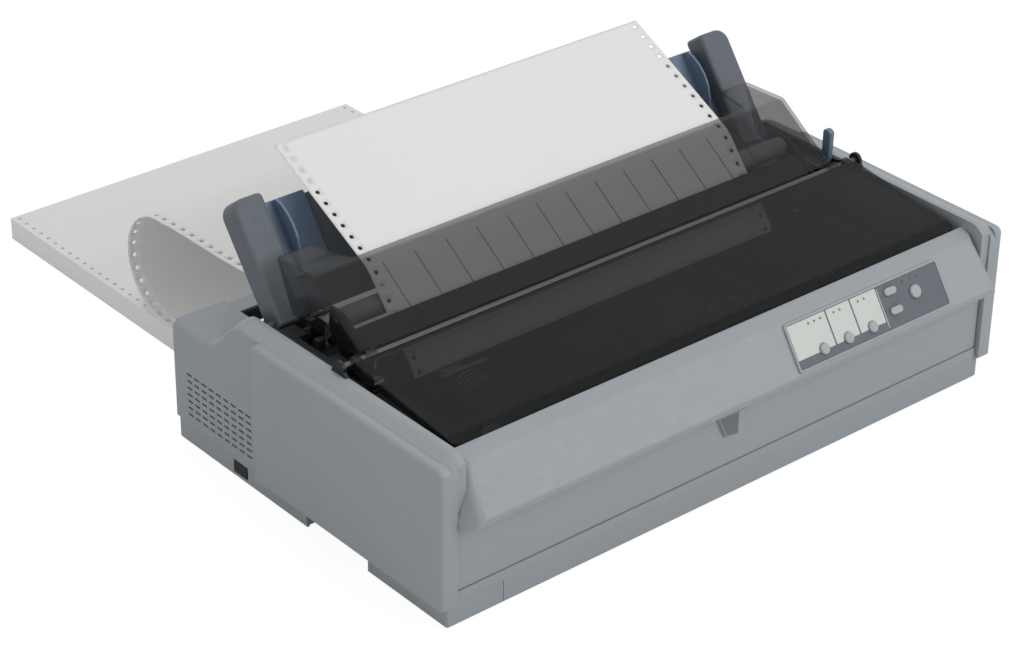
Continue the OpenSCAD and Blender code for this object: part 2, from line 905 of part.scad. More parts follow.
module tractor_body() {
    out = -tractor_w / 2 - 1;
    color(dark)
        difference() {
            union() {
                across(out, tractor_w / 2 - 1)
                    polygon([[98, 92], [98, 116], [102, 119.4], [158, 119.4], [162, 116], [162, 92]]);
                for (y = [lid_y[0] - 5, lid_y[1] + gap])
                    block(lid_pin_x - 2.6, out + 1, y, y + 4.6, 108, lid_pin_z + 2.4);
            }
            block(-4, 4, 90, 131, 86, 121);
            rod(-30, 30, tractor_c, tractor_shaft_r + fit);
            rod(-30, 30, support_c, tractor_shaft_r + fit);
            translate([lid_pin_x, lid_y[0] - 6, lid_pin_z])
                rotate([-90, 0, 0])
                    cylinder(h = lid_y[1] - lid_y[0] + 12, r = 1.2 + fit);
        }
}

module sprocket() {
    reach = feed_z - paper_t / 2 - 0.3 - tractor_c[1];
    color(nylon)
        difference() {
            union() {
                rod(-3, 3, tractor_c, 12.4);
                for (i = [0 : sprocket_pins - 1])
                    translate([0, tractor_c[0], tractor_c[1]])
                        rotate([i * 360 / sprocket_pins, 0, 0])
                            translate([0, 0, 8])
                                cylinder(h = reach - 8, r = 1.5);
            }
            rod(-4, 4, tractor_c, tractor_shaft_r + fit);
        }
}

module tractor_lid() {
    color(dark)
        difference() {
            union() {
                block(lid_pin_x, tractor_w / 2 - 2, lid_y[0], lid_y[1], feed_z + 1, feed_z + 3.2);
                translate([lid_pin_x, lid_y[0] - 4.5, lid_pin_z])
                    rotate([-90, 0, 0])
                        cylinder(h = lid_y[1] - lid_y[0] + 9, r = 1.2);
                translate([lid_pin_x, lid_y[0], lid_pin_z])
                    rotate([-90, 0, 0])
                        cylinder(h = lid_y[1] - lid_y[0], r = 2.2);
            }
            block(-3, 3, lid_y[0] + 3, lid_y[1] - 3, feed_z, feed_z + 5);
        }
}

module at_left() {
    translate([column_x, 0, 0])
        children();
}

module at_right() {
    translate([column_far, 0, 0])
        mirror([1, 0, 0])
            children();
}

module tractor_left() {
    at_left()
        tractor_body();
}

module tractor_right() {
    at_right()
        tractor_body();
}

module sprocket_left() {
    at_left()
        sprocket();
}

module sprocket_right() {
    at_right()
        sprocket();
}

module tractor_lid_left() {
    at_left()
        tractor_lid();
}

module tractor_lid_right() {
    at_right()
        tractor_lid();
}

module guide_shaft() {
    color(steel)
        rod(-frame_x, frame_x, guide_c, guide_shaft_r);
}

module carriage() {
    x0 = carriage_x - carriage_w / 2;
    x1 = carriage_x + carriage_w / 2;
    strand = belt_y + pulley_r;
    color(dark)
        difference() {
            union() {
                block(x0, x1, -84, -52, 80, 99);
                block(x0 + 18, x1 - 18, -115, -84, rail_top + 0.5, 83);
                block(x0 + 10, x1 - 10, -95, -84, belt_z + belt_w + 1, belt_z + belt_w + 4);
                block(x0 + 10, x1 - 10, -95, strand - 0.8, belt_z - 1, belt_z + belt_w + 2);
                block(x0 + 10, x1 - 10, strand + belt_t + 0.8, -84, belt_z - 1, belt_z + belt_w + 2);
                block(x0 + 8, x1 - 8, -64, -57, 99, 102.4);
            }
            rod(x0 - 1, x1 + 1, guide_c, guide_shaft_r + fit);
        }
}

module print_head() {
    head_z = platen_c[1] + 1;
    color(steel)
        translate([carriage_x, 0, 0])
            union() {
                block(-24, 24, -57, -53, 99, head_z + 16);
                across(-nose_w / 2, nose_w / 2)
                    polygon([[-53, head_z - 13], [-30.5, head_z - 4], [-30.5, head_z + 4],
                        [-53, head_z + 13]]);
                translate([0, -57, head_z])
                    rotate([90, 0, 0])
                        cylinder(h = 24, r = head_r - 4);
                for (i = [0 : 4])
                    translate([0, -60 - i * 4.6, head_z])
                        rotate([90, 0, 0])
                            cylinder(h = 2, r = head_r - 0.7);
            }
}

module carriage_motor() {
    color(steel)
        difference() {
            union() {
                translate([pulley_x, belt_y, plate_top])
                    cylinder(h = 52, r = 19);
                translate([pulley_x, belt_y, plate_top + 52])
                    cylinder(h = 3, r = 7);
            }
            translate([pulley_x, belt_y, plate_top + 43])
                cylinder(h = 14, r = 2.5 + fit);
        }
}

module pulley() {
    translate([0, belt_y, belt_z]) {
        translate([0, 0, -0.9])
            cylinder(h = belt_w + 1.8, r = pulley_r - 0.3);
        for (z = [-1.4, belt_w + 0.4])
            translate([0, 0, z])
                cylinder(h = 1, r = pulley_r + 2);
    }
}

module drive_pulley() {
    color(nylon)
        union() {
            translate([pulley_x, 0, 0])
                pulley();
            translate([pulley_x, belt_y, plate_top + 45])
                cylinder(h = belt_z + belt_w - plate_top - 45, r = 2.5);
        }
}

module idler_pulley() {
    color(nylon)
        difference() {
            translate([-pulley_x, 0, 0])
                pulley();
            translate([-pulley_x, belt_y, belt_z - 4])
                cylinder(h = 20, r = stud_r + fit);
        }
}

module belt_outline(r) {
    translate([0, belt_y]) {
        for (x = [-pulley_x, pulley_x])
            translate([x, 0])
                circle(r = r);
        translate([-pulley_x, -r])
            square([2 * pulley_x, 2 * r]);
    }
}

module drive_belt() {
    color(rubber)
        translate([0, 0, belt_z])
            linear_extrude(height = belt_w)
                difference() {
                    belt_outline(pulley_r + belt_t);
                    belt_outline(pulley_r);
                }
}

module ribbon_cartridge() {
    color([0.16, 0.17, 0.18])
        difference() {
            union() {
                block(-arm_x - arm_w, arm_x + arm_w, cart_front, cart_rear, cart_z, cart_top);
                both_sides() {
                    block(arm_x, arm_x + arm_w, cart_rear, -27.5, 107, cart_top - 1);
                    block(arm_x + arm_w, frame_x, cart_rear, -98, cart_z, cart_z + 9);
                    block(arm_x + 4, arm_x + arm_w + 1, cart_rear, -98, cart_z, 108);
                }
            }
            translate([-225, -142, cart_top - 8])
                cylinder(h = 9, r = 3 + fit);
            both_sides()
                block(arm_x - 1, arm_x + 0.5, -33, -26, 106, cart_top);
        }
}

module ribbon() {
    color(rubber)
        block(-arm_x - 0.5, arm_x + 0.5, -29.2, -28.7, 110, 123);
}

module ribbon_knob() {
    color(nylon)
        translate([-225, -142, 0]) {
            translate([0, 0, cart_top + 0.3])
                cylinder(h = 8, r = 10);
            translate([0, 0, cart_top - 7])
                cylinder(h = 8, r = 3);
        }
}

module tension_frame() {
    color(dark)
        difference() {
            union() {
                both_sides()
                    across(tension_x, tension_x + 3)
                        polygon([[-18, 110], [-22, 128], [-22, 153], [4, 170], [16, 178], [32, 178],
                            [34, 160], [14, 132], [4, 110]]);
                across(-tension_x, tension_x)
                    polygon([[-20, 150], [-18, 148.4], [4.4, 167], [3, 169]]);
            }
            both_sides() {
                rod(tension_x - 1, tension_x + 4, platen_c, platen_shaft_r + fit);
                rod(tension_x - 1, tension_x + 4, tension_c, 2.5 + fit);
            }
        }
}

module exit_roller() {
    color([0.30, 0.31, 0.32])
        union() {
            rod(-tension_x + 1, tension_x - 1, tension_c, exit_r);
            rod(-tension_x - 3, tension_x + 3, tension_c, 2.5);
        }
}

lever_c = [3, 131];
gap_c = [22, 130];

module release_lever() {
    color(navy)
        difference() {
            union() {
                across(frame_x + 9, frame_x + 9 + lever_t)
                    polygon([[-1.5, lever_c[1]], [-8, 158], [-8.5, lever_top - 3], [-6, lever_top],
                        [-1, lever_top], [1, lever_top - 3], [1, 158], [7.5, lever_c[1]]]);
                rod(frame_x + 9, frame_x + 9 + lever_t, lever_c, 6);
            }
            rod(frame_x, frame_x + 20, lever_c, stud_r + fit);
        }
}

module gap_lever() {
    color(dark)
        difference() {
            union() {
                across(-frame_x - 5.2, -frame_x - 0.8)
                    polygon([[gap_c[0] - 4, gap_c[1]], [gap_c[0] - 3, 160], [gap_c[0] + 3, 160],
                        [gap_c[0] + 4, gap_c[1]]]);
                rod(-frame_x - 5.2, -frame_x - 0.8, gap_c, 6);
                rod(-frame_x - 5.2, -frame_x + 3, [gap_c[0], 157], 3);
            }
            rod(-frame_x - 6, -frame_x, gap_c, stud_r + fit);
        }
}

module mainboard() {
    color(board_green)
        union() {
            block(-120, inner_x - 28, -20, plate_rear, board_z, board_z + board_t);
            block(-60, -20, 20, 60, board_z + board_t, board_z + board_t + 3);
            block(20, 50, 30, 60, board_z + board_t, board_z + board_t + 3);
            block(80, 96, 20, 60, board_z + board_t, board_z + board_t + 4);
            block(120, 180, 100, 108, board_z + board_t, board_z + board_t + 18);
            for (x = [0, 30, 60])
                translate([x + 130, 10, board_z + board_t])
                    cylinder(h = 16, r = 7);
        }
}

module power_supply() {
    color(steel)
        union() {
            block(supply_x, supply_x + 132, plate_rear - 107, plate_rear - 23, plate_top, 60);
            block(supply_x + 12, supply_x + 122, plate_rear - 99, plate_rear - 33, 60, 66);
        }
}

module base_screws() {
    color(steel)
        for (x = screw_x, y = screw_y)
            translate([x, y, 0]) {
                translate([0, 0, plate_top])
                    cylinder(h = 2.2, r = screw_r);
                translate([0, 0, floor_z + 2])
                    cylinder(h = plate_top - floor_z - 2, r = 1.4);
            }
}

// Paper path, from the top of the printed sheet to the stack
exit_start = platen_c + paper_wrap * [cos(90 + exit_angle), sin(90 + exit_angle)];
exit_dir = [cos(exit_angle), sin(exit_angle)];
sheet_dir = [cos(sheet_angle), sin(sheet_angle)];
corner = let (d = sheet_ref - exit_start, k = (d[0] * sheet_dir[1] - d[1] * sheet_dir[0])
    / (exit_dir[0] * sheet_dir[1] - exit_dir[1] * sheet_dir[0])) exit_start + k * exit_dir;
bend_len = bend_r * tan((exit_angle - sheet_angle) / 2);
bend_c = corner - bend_len * exit_dir + bend_r * [exit_dir[1], -exit_dir[0]];
dip = [dip_y, feed_z];
dip_v = dip - platen_c;
wrap_angle = 270 + asin(paper_wrap / norm(dip_v)) - atan2(-dip_v[1], dip_v[0]);
loop_c = [loop_y, stack_h + 1 + loop_r];
web_pts = concat(
    [sheet_ref + sheet_len * sheet_dir, corner + (bend_len + 30) * sheet_dir],
    arc(bend_c, bend_r, 90 + sheet_angle, 90 + exit_angle, 4),
    arc(platen_c, paper_wrap, 90 + exit_angle, wrap_angle, 12),
    [dip + [2, 0], [160, feed_z], [205, feed_z]],
    [for (i = [1 : 4]) let (t = i / 5) [205 + (loop_y - 205) * t,
        feed_z + (loop_c[1] + loop_r - feed_z) * (1 - cos(180 * t)) / 2]],
    arc(loop_c, loop_r, 90, -90, 18),
    [[stack_front, stack_h + 0.5]]);

// Sideways shift of a point of the web, from the tractors to the stack
function skew(y) = y < 170 ? 0 : stack_shift * min(1, (y - 170) / (loop_y - 170));

module paper_web() {
    n = len(web_pts);
    late = [for (i = [0 : n - 1]) i > n - 20];
    normals = [for (i = [0 : n - 1]) let (a = web_pts[max(i - 1, 0)], b = web_pts[min(i + 1, n - 1)],
        d = (b - a) / norm(b - a)) [-d[1], d[0]] * paper_t / 2];
    shifts = [for (i = [0 : n - 1]) late[i] ? stack_shift : skew(web_pts[i][0])];
    points = [for (i = [0 : n - 1]) for (k = [0 : 3]) let (p = web_pts[i] + (k < 2 ? -1 : 1) * normals[i])
        [paper_x + shifts[i] + (k == 1 || k == 2 ? paper_w : 0), p[0], p[1]]];
    sides = [for (i = [0 : n - 2]) for (k = [0 : 3])
        [4 * i + k, 4 * i + (k + 1) % 4, 4 * i + 4 + (k + 1) % 4, 4 * i + 4 + k]];
    color(paper_white)
        polyhedron(points = points, faces = concat([[3, 2, 1, 0]], sides,
            [[for (k = [0 : 3]) 4 * (n - 1) + k]]));
}

module paper_stack() {
    color(paper_white)
        block(paper_x + stack_shift, paper_x + stack_shift + paper_w, stack_front, stack_rear, 0, stack_h);
}

lower_case();
feet();
upper_case();
front_door();
printer_cover();
guide_flap();
hinge_rod();
paper_guide();
edge_guide_left();
edge_guide_right();
control_panel();
panel_lamps();
button_left();
button_middle();
button_right();
button_round();
button_oval_top();
button_oval_low();
power_switch();
power_inlet();
interface_port();
base_frame();
side_frame_left();
side_frame_right();
platen();
platen_shaft();
platen_gear();
paper_knob();
idler_gear_front();
idler_gear_rear();
feed_motor();
motor_pinion();
tractor_shaft();
tractor_gear();
support_shaft();
tractor_left();
tractor_right();
sprocket_left();
sprocket_right();
tractor_lid_left();
tractor_lid_right();
guide_shaft();
carriage();
print_head();
carriage_motor();
drive_pulley();
idler_pulley();
drive_belt();
ribbon_cartridge();
ribbon();
ribbon_knob();
tension_frame();
exit_roller();
release_lever();
gap_lever();
mainboard();
power_supply();
base_screws();
paper_web();
paper_stack();
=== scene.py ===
# %% [markdown]
# A wide-carriage dot matrix printer, dressed over its CAD frame
#
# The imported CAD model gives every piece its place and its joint. This lesson lays the visible skin over it:
# grey moulded cases, smoked see-through covers, a leaning paper guide and the web of sprocket-holed paper.
# Measures are written in millimetres, as a maker would, and turned into metres when a mesh is made.

# %% Load the frame
import json
import math
import bmesh
import bpy
import mathutils
import numpy as np
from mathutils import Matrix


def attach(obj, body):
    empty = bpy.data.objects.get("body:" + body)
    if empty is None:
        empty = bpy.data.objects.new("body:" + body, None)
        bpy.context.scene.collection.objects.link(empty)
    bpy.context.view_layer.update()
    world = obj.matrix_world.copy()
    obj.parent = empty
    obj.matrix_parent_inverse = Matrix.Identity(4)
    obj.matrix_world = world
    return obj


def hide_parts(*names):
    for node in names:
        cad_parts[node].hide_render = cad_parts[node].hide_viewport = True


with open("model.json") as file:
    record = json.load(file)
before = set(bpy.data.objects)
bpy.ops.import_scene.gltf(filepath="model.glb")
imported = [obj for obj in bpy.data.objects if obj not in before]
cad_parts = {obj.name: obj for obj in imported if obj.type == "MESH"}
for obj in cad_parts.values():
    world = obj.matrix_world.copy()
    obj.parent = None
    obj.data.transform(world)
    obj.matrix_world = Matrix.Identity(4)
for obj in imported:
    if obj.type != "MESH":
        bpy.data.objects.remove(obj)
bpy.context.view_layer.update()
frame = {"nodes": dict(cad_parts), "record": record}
record = frame["record"]
body_of = {node: body for body, members in record["behaviour"]["bodies"].items() for node in members}

# %% [markdown]
# Shapes as numbers
#
# A moulded part is an outline with soft corners, carried along one axis with its two rims rolled over. Both
# steps are plain array sums, so one short function gives a rail, a door or a button. Drawing each by hand
# would take a modelling session a piece, and bevel modifiers alone round every edge by the same amount.

# %% Outlines


def rounded(corners, radius=1.0, steps=4):
    """Closed outline with soft corners. Corner P, with tangent points A and B on its two edges, becomes
    ((1-s)^2 A + 2 s (1-s) w P + s^2 B) / ((1-s)^2 + 2 s (1-s) w + s^2) for s from 0 to 1, which is a true
    arc when w is the sine of half the corner's angle."""
    p = np.array(corners, float)
    r = np.broadcast_to(np.asarray(radius, float), len(p))
    back, ahead = np.roll(p, 1, 0) - p, np.roll(p, -1, 0) - p
    len_back, len_ahead = np.linalg.norm(back, axis=1), np.linalg.norm(ahead, axis=1)
    u, v = back / len_back[:, None], ahead / len_ahead[:, None]
    half = np.arccos(np.clip((u * v).sum(1), -1, 1)) / 2
    reach = np.minimum(r / np.tan(half), 0.49 * np.minimum(len_back, len_ahead))
    a, b = p + u * reach[:, None], p + v * reach[:, None]
    s = np.linspace(0, 1, steps + 1)[None, :, None]
    w = np.sin(half)[:, None, None]
    wa, wp, wb = (1 - s) ** 2, 2 * s * (1 - s) * w, s ** 2
    points = ((wa * a[:, None] + wp * p[:, None] + wb * b[:, None]) / (wa + wp + wb)).reshape(-1, 2)
    return points[np.linalg.norm(points - np.roll(points, 1, 0), axis=1) > 1e-3]


def oblong(low, high, radius=1.0, steps=4):
    """Rectangle between two corners, with soft corners."""
    return rounded([low, (high[0], low[1]), high, (low[0], high[1])], radius, steps)


def ring(centre, radius, count=32):
    """Circle: centre + radius (cos t, sin t)."""
    t = np.linspace(0, 2 * np.pi, count, endpoint=False)
    return np.stack([centre[0] + radius * np.cos(t), centre[1] + radius * np.sin(t)], 1)


def inset(outline, d):
    """Outline moved inward by d: each point goes d (m + n) / (1 + m.n) along its two edges' inward normals."""
    edge = np.roll(outline, -1, 0) - outline
    ahead = np.roll(outline, -1, 0)
    turn = np.sign((outline[:, 0] * ahead[:, 1] - outline[:, 1] * ahead[:, 0]).sum())
    n = turn * np.stack([-edge[:, 1], edge[:, 0]], 1) / np.linalg.norm(edge, axis=1)[:, None]
    m = np.roll(n, 1, 0)
    return outline + d * (n + m) / np.maximum(1 + (n * m).sum(1), 0.3)[:, None]


print("a soft square has", len(oblong((0, 0), (1, 1), 0.2)), "points")

# %% [markdown]
# Outlines into solids
#
# A solid is a stack of rings joined by quads and closed at both ends. A slab's rings are one outline, inset
# a little at each rim so that its edge rolls over, and a turned piece's rings are circles. Extruding and
# bevelling by hand gives the same form, but here each piece stays one short line of numbers.

# %% Solids


def volume(points, faces):
    """Signed volume: a sixth of the sum, over the triangles fanned from each face's first corner, of
    a . (b x c)."""
    fans = np.array([(face[0], b, c) for face in faces for b, c in zip(face[1:], face[2:])])
    a, b, c = (points - points.mean(0))[fans].transpose(1, 0, 2)
    return (a * np.cross(b, c)).sum() / 6


def loft(rings, capped=True):
    """Solid through a stack of rings, an array of rings by points by 3: quads between neighbours, a face at
    each end."""
    count, around = rings.shape[:2]
    i, j = np.meshgrid(np.arange(count - 1), np.arange(around), indexing="ij")
    k = (j + 1) % around
    quads = np.stack([i * around + j, i * around + k, (i + 1) * around + k, (i + 1) * around + j], -1)
    faces = quads.reshape(-1, 4).tolist()
    if capped:
        faces += [list(range(around))[::-1], list(range((count - 1) * around, count * around))]
    points = rings.reshape(-1, 3)
    return points, faces if volume(points, faces) > 0 else [face[::-1] for face in faces]


def slab(outline, low, high, edge=0.6, edge_high=None, axis=0, steps=3):
    """Outline carried from low to high along an axis with rolled rims: at angle t of a quarter turn it is
    inset by edge (1 - sin t) and stands edge (1 - cos t) inside the rim."""
    edge_high = edge if edge_high is None else edge_high
    t = np.linspace(0, np.pi / 2, steps + 1)
    insets = np.concatenate([edge * (1 - np.sin(t)), edge_high * (1 - np.sin(t[::-1]))])
    places = np.concatenate([low + edge * (1 - np.cos(t)), high - edge_high * (1 - np.cos(t[::-1]))])
    outline = np.array(outline, float)
    rings = [np.insert(inset(outline, d), axis, place, axis=1) for d, place in zip(insets, places)]
    return loft(np.array(rings))


def turned(profile, centre, axis=0, count=40):
    """Profile of (distance along the axis, radius) turned round an axis through centre: the point at angle t
    is centre + radius (cos t, sin t) across the axis."""
    profile = np.array(profile, float)
    t = np.linspace(0, 2 * np.pi, count, endpoint=False)[None, :]
    a = centre[0] + profile[:, 1:2] * np.cos(t)
    b = centre[1] + profile[:, 1:2] * np.sin(t)
    along = np.broadcast_to(profile[:, 0:1], a.shape)
    parts = [a, b]
    parts.insert(axis, along)
    return loft(np.stack(parts, -1))


def pin(low, high, centre, radius, edge=0.4, axis=0, count=24):
    """Round pin with softened ends."""
    return slab(ring(centre, radius, count), low, high, edge, axis=axis, steps=2)


def copies(shape, shifts):
    """One shape repeated at an array of shifts."""
    points, faces = shape
    shifts = np.array(shifts, float)
    every = (points[None] + shifts[:, None]).reshape(-1, 3)
    size = len(points)
    return every, [[v + n * size for v in face] for n in range(len(shifts)) for face in faces]


def together(*shapes):
    """Several shapes in one, side by side."""
    points, faces, size = [], [], 0
    for part, around in shapes:
        points.append(part)
        faces += [[v + size for v in face] for face in around]
        size += len(part)
    return np.concatenate(points), faces


def mirrored(shape):
    """The same shape on the other side of the machine."""
    return shape[0] * [-1, 1, 1], [face[::-1] for face in shape[1]]


def both(shape):
    """A shape and its twin on the other side."""
    return together(shape, mirrored(shape))


print("a round pin has", len(pin(0, 5, (0, 0), 2)[0]), "points")

# %% [markdown]
# Cutting and joining
#
# Real mouldings are one skin: the rail, the wall and the deck run into each other, and vents are cut through.
# Boolean modifiers give that skin from overlapping solids. Their result is read back as plain numbers, so no
# modifier is left that could fail later. Loose overlapping solids would look alike from outside, but leave
# inner faces behind.

# %% Cut and join


def cleaned(name, shape, scale, outward=True):
    """Mesh of a shape, with its doubles merged and, on a finished piece, its faces pointing outward."""
    mesh = bpy.data.meshes.new(name)
    mesh.from_pydata((shape[0] * scale).tolist(), [], shape[1])
    work = bmesh.new()
    work.from_mesh(mesh)
    bmesh.ops.remove_doubles(work, verts=work.verts, dist=0.012 * scale)
    bmesh.ops.dissolve_degenerate(work, edges=work.edges, dist=0.002 * scale)
    if outward:
        bmesh.ops.recalc_face_normals(work, faces=work.faces)
        if work.calc_volume(signed=True) < 0:
            bmesh.ops.reverse_faces(work, faces=work.faces)
    work.to_mesh(mesh)
    work.free()
    return mesh


def linked(name, mesh):
    """Object of a mesh, in the scene."""
    thing = bpy.data.objects.new(name, mesh)
    bpy.context.scene.collection.objects.link(thing)
    return thing


def combined(base, *steps):
    """A shape after boolean steps, each an operation and a shape."""
    bench = [linked("bench", cleaned("bench", base, 1.0, False))]
    for operation, tool in steps:
        bench.append(linked("tool", cleaned("tool", tool, 1.0, False)))
        step = bench[0].modifiers.new("step", "BOOLEAN")
        step.operation, step.solver, step.object = operation, "EXACT", bench[-1]
    done = bench[0].evaluated_get(bpy.context.evaluated_depsgraph_get()).to_mesh()
    points = np.zeros(len(done.vertices) * 3)
    done.vertices.foreach_get("co", points)
    faces = [list(face.vertices) for face in done.polygons]
    for thing in bench:
        bpy.data.objects.remove(thing)
    return points.reshape(-1, 3), faces


def plus(*shapes):
    """Boolean steps that add shapes."""
    return [("UNION", shape) for shape in shapes]


def less(*shapes):
    """Boolean steps that take shapes away."""
    return [("DIFFERENCE", shape) for shape in shapes]


def joined(base, *others):
    """Union of shapes."""
    return combined(base, *plus(*others))


def cut(base, *tools):
    """A shape with others taken away."""
    return combined(base, *less(*tools))


def block(x, y, z, edge=0.5):
    """Block between two x, two y and two z, with soft edges."""
    return slab(oblong((x[0], z[0]), (x[1], z[1]), edge * 1.05, 3), y[0], y[1], edge, axis=1, steps=2)


def piece(name, shape, body, material, stands_for=(), sharp=38):
    """The finished piece: smooth faces, corners over the sharp angle kept, normals weighted by face area."""
    mesh = cleaned(name, shape, 0.001)
    mesh.polygons.foreach_set("use_smooth", np.ones(len(mesh.polygons), bool))
    mesh.set_sharp_from_angle(angle=math.radians(sharp))
    mesh.materials.append(material)
    thing = linked(name, mesh)
    even = thing.modifiers.new("even_normals", "WEIGHTED_NORMAL")
    even.keep_sharp = True
    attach(thing, body)
    if stands_for:
        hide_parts(*stands_for)
    return thing


print("a soft block has", len(block((0, 9), (0, 9), (0, 9))[1]), "faces")

# %% [markdown]
# Finishes
#
# Most of the machine is injection-moulded plastic with an etched grain: tiny pits that break up the shine.
# One function mixes three noises at three sizes: broad for the tone, middling for the polish and fine for the
# grain. All read Object coordinates, so the grain keeps its real size on every piece. A picture of grain
# would do too, but would have to be unwrapped and would tile.

# %% Surface materials


def add(tree, kind, inputs=(), **settings):
    """Node of a kind, with its settings, values and links."""
    node = tree.nodes.new("ShaderNode" + kind)
    for name, value in settings.items():
        setattr(node, name, value)
    for name, value in dict(inputs).items():
        if isinstance(value, bpy.types.NodeSocket):
            tree.links.new(value, node.inputs[name])
        else:
            node.inputs[name].default_value = value
    return node


def material_start(name):
    """Empty material with a Principled shader."""
    material = bpy.data.materials.new(name)
    material.use_nodes = True
    tree = material.node_tree
    return material, tree, tree.nodes["Principled BSDF"]


def tone(tree, colour, spread, factor):
    """Colour between (1 - spread) and (1 + spread) times the given one."""
    low = tuple(c * (1 - spread) for c in colour) + (1,)
    high = tuple(min(c * (1 + spread), 1) for c in colour) + (1,)
    mix = add(tree, "Mix", data_type="RGBA")
    tree.links.new(factor, mix.inputs["Factor"])
    mix.inputs["A"].default_value, mix.inputs["B"].default_value = low, high
    return mix.outputs["Result"]


tone_scale, polish_scale, polish_swing, coat_rough = 14.0, 130.0, 0.07, 0.15


def moulded(name, colour, rough, grain_mm=0.5, grain=0.25, spread=0.05, metal=0.0, stretch=(1, 1, 1),
            specular=0.5, alpha=1.0, coat=0.0):
    """Plastic, rubber or metal from noise at three sizes: broad for the tone, middling for the polish, which
    swings about rough, and fine for pits a grain_mm across. Stretch below 1 draws the two finer ones out
    along that axis, as brushing does."""
    material, tree, shader = material_start(name)
    place = add(tree, "TexCoord").outputs["Object"]
    along = add(tree, "Mapping", {"Vector": place, "Scale": stretch}).outputs["Vector"]
    broad = add(tree, "TexNoise", {"Vector": place, "Scale": tone_scale, "Detail": 3.0}).outputs["Fac"]
    polish = add(tree, "TexNoise", {"Vector": along, "Scale": polish_scale, "Detail": 4.0}).outputs["Fac"]
    pits = add(tree, "TexNoise", {"Vector": along, "Scale": 1000 / grain_mm, "Detail": 2.0}).outputs["Fac"]
    tree.links.new(tone(tree, colour, spread, broad), shader.inputs["Base Color"])
    spanned = add(tree, "MapRange", {"Value": polish, "From Min": 0.3, "From Max": 0.7,
                                     "To Min": max(rough - polish_swing, 0.03),
                                     "To Max": rough + polish_swing})
    tree.links.new(spanned.outputs["Result"], shader.inputs["Roughness"])
    bump = add(tree, "Bump", {"Height": pits, "Strength": grain, "Distance": 0.0001 * grain_mm})
    tree.links.new(bump.outputs["Normal"], shader.inputs["Normal"])
    shader.inputs["Metallic"].default_value = metal
    shader.inputs["Specular IOR Level"].default_value = specular
    shader.inputs["Alpha"].default_value = alpha
    shader.inputs["Coat Weight"].default_value = coat
    shader.inputs["Coat Roughness"].default_value = coat_rough
    return material


case_grey = moulded("case_grey", (0.316, 0.347, 0.371), 0.52, spread=0.03)
guide_grey = moulded("guide_grey", (0.112, 0.130, 0.150), 0.50, spread=0.04, specular=0.35)
smoked = moulded("smoked", (0.012, 0.012, 0.014), 0.12, grain=0.005, alpha=0.38, spread=0.1, specular=0.4)
cover_smoked = moulded("cover_smoked", (0.0075, 0.0078, 0.0085), 0.16, grain=0.005, alpha=0.62, spread=0.1,
                       specular=0.16)
navy = moulded("navy", (0.135, 0.185, 0.265), 0.42, spread=0.05)
satin_black = moulded("satin_black", (0.011, 0.012, 0.014), 0.42, grain=0.05, spread=0.15, specular=0.3)
# Darker grey for the thin plate on the finger pull's face: painted shade.
pull_painted_shade = moulded("pull_painted_shade", (0.150, 0.160, 0.172), 0.5, spread=0.05)
slate = moulded("slate", (0.085, 0.103, 0.120), 0.45, spread=0.03)
cream = moulded("cream", (0.58, 0.61, 0.58), 0.45, grain=0.1, spread=0.02)
button_grey = moulded("button_grey", (0.36, 0.38, 0.40), 0.38, grain=0.12, spread=0.03)
natural_nylon = moulded("natural_nylon", (0.62, 0.60, 0.53), 0.5, spread=0.04)
zinc_sheet = moulded("zinc_sheet", (0.30, 0.31, 0.32), 0.42, grain_mm=3.0, grain=0.05, spread=0.18, metal=1.0,
                     stretch=(1, 1, 0.15))
dark_sheet = moulded("dark_sheet", (0.024, 0.026, 0.029), 0.5, grain_mm=2.0, grain=0.03, spread=0.2,
                     metal=0.4)
ground_steel = moulded("ground_steel", (0.62, 0.63, 0.65), 0.22, grain_mm=1.2, grain=0.2, spread=0.06,
                       metal=1.0, stretch=(0.05, 1, 1))
black_steel = moulded("black_steel", (0.080, 0.083, 0.088), 0.34, grain_mm=1.2, grain=0.15, spread=0.08,
                      metal=0.7, stretch=(0.05, 1, 1))
ground_rubber = moulded("ground_rubber", (0.012, 0.012, 0.013), 0.72, grain_mm=0.8, grain=0.3, spread=0.2,
                        specular=0.3)
roller_grey = moulded("roller_grey", (0.20, 0.21, 0.22), 0.5, spread=0.08)
lamp_green = moulded("lamp_green", (0.10, 0.17, 0.11), 0.15, grain=0.02, coat=0.5)
print("finishes", len(bpy.data.materials))

# %% [markdown]
# Board, ribbon and bare paper
#
# A circuit board shows tracks under its green mask, an inked ribbon shows its weave, and a paper stack shows
# the cut edges of its sheets. Each is one pattern node more than the plastics have. They could be modelled,
# but the tracks are thinner than a hair and the weave finer still, so a pattern gives them enough.

# %% Patterned materials


def patterned(name, colours, rough, pattern, output, **inputs):
    """Material whose colour runs between two along one output of a texture node."""
    material, tree, shader = material_start(name)
    place = add(tree, "TexCoord").outputs["Object"]
    texture = add(tree, pattern, {"Vector": place, **inputs})
    ramp = add(tree, "Mix", {"Factor": texture.outputs[output]}, data_type="RGBA")
    ramp.inputs["A"].default_value, ramp.inputs["B"].default_value = [c + (1,) for c in colours]
    tree.links.new(ramp.outputs["Result"], shader.inputs["Base Color"])
    bump = add(tree, "Bump", {"Height": texture.outputs[0], "Strength": 0.3, "Distance": 0.0001})
    tree.links.new(bump.outputs["Normal"], shader.inputs["Normal"])
    shader.inputs["Roughness"].default_value = rough
    return material


board_green = patterned("board_green", ((0.010, 0.075, 0.035), (0.020, 0.13, 0.06)), 0.35, "TexVoronoi",
                        "Distance", Scale=180.0)
ribbon_weave = patterned("ribbon_weave", ((0.006, 0.006, 0.009), (0.022, 0.022, 0.030)), 0.8, "TexWave",
                         "Fac", Scale=900.0, Distortion=1.0)
paper_white = (0.745, 0.745, 0.735)
inch = 25.4


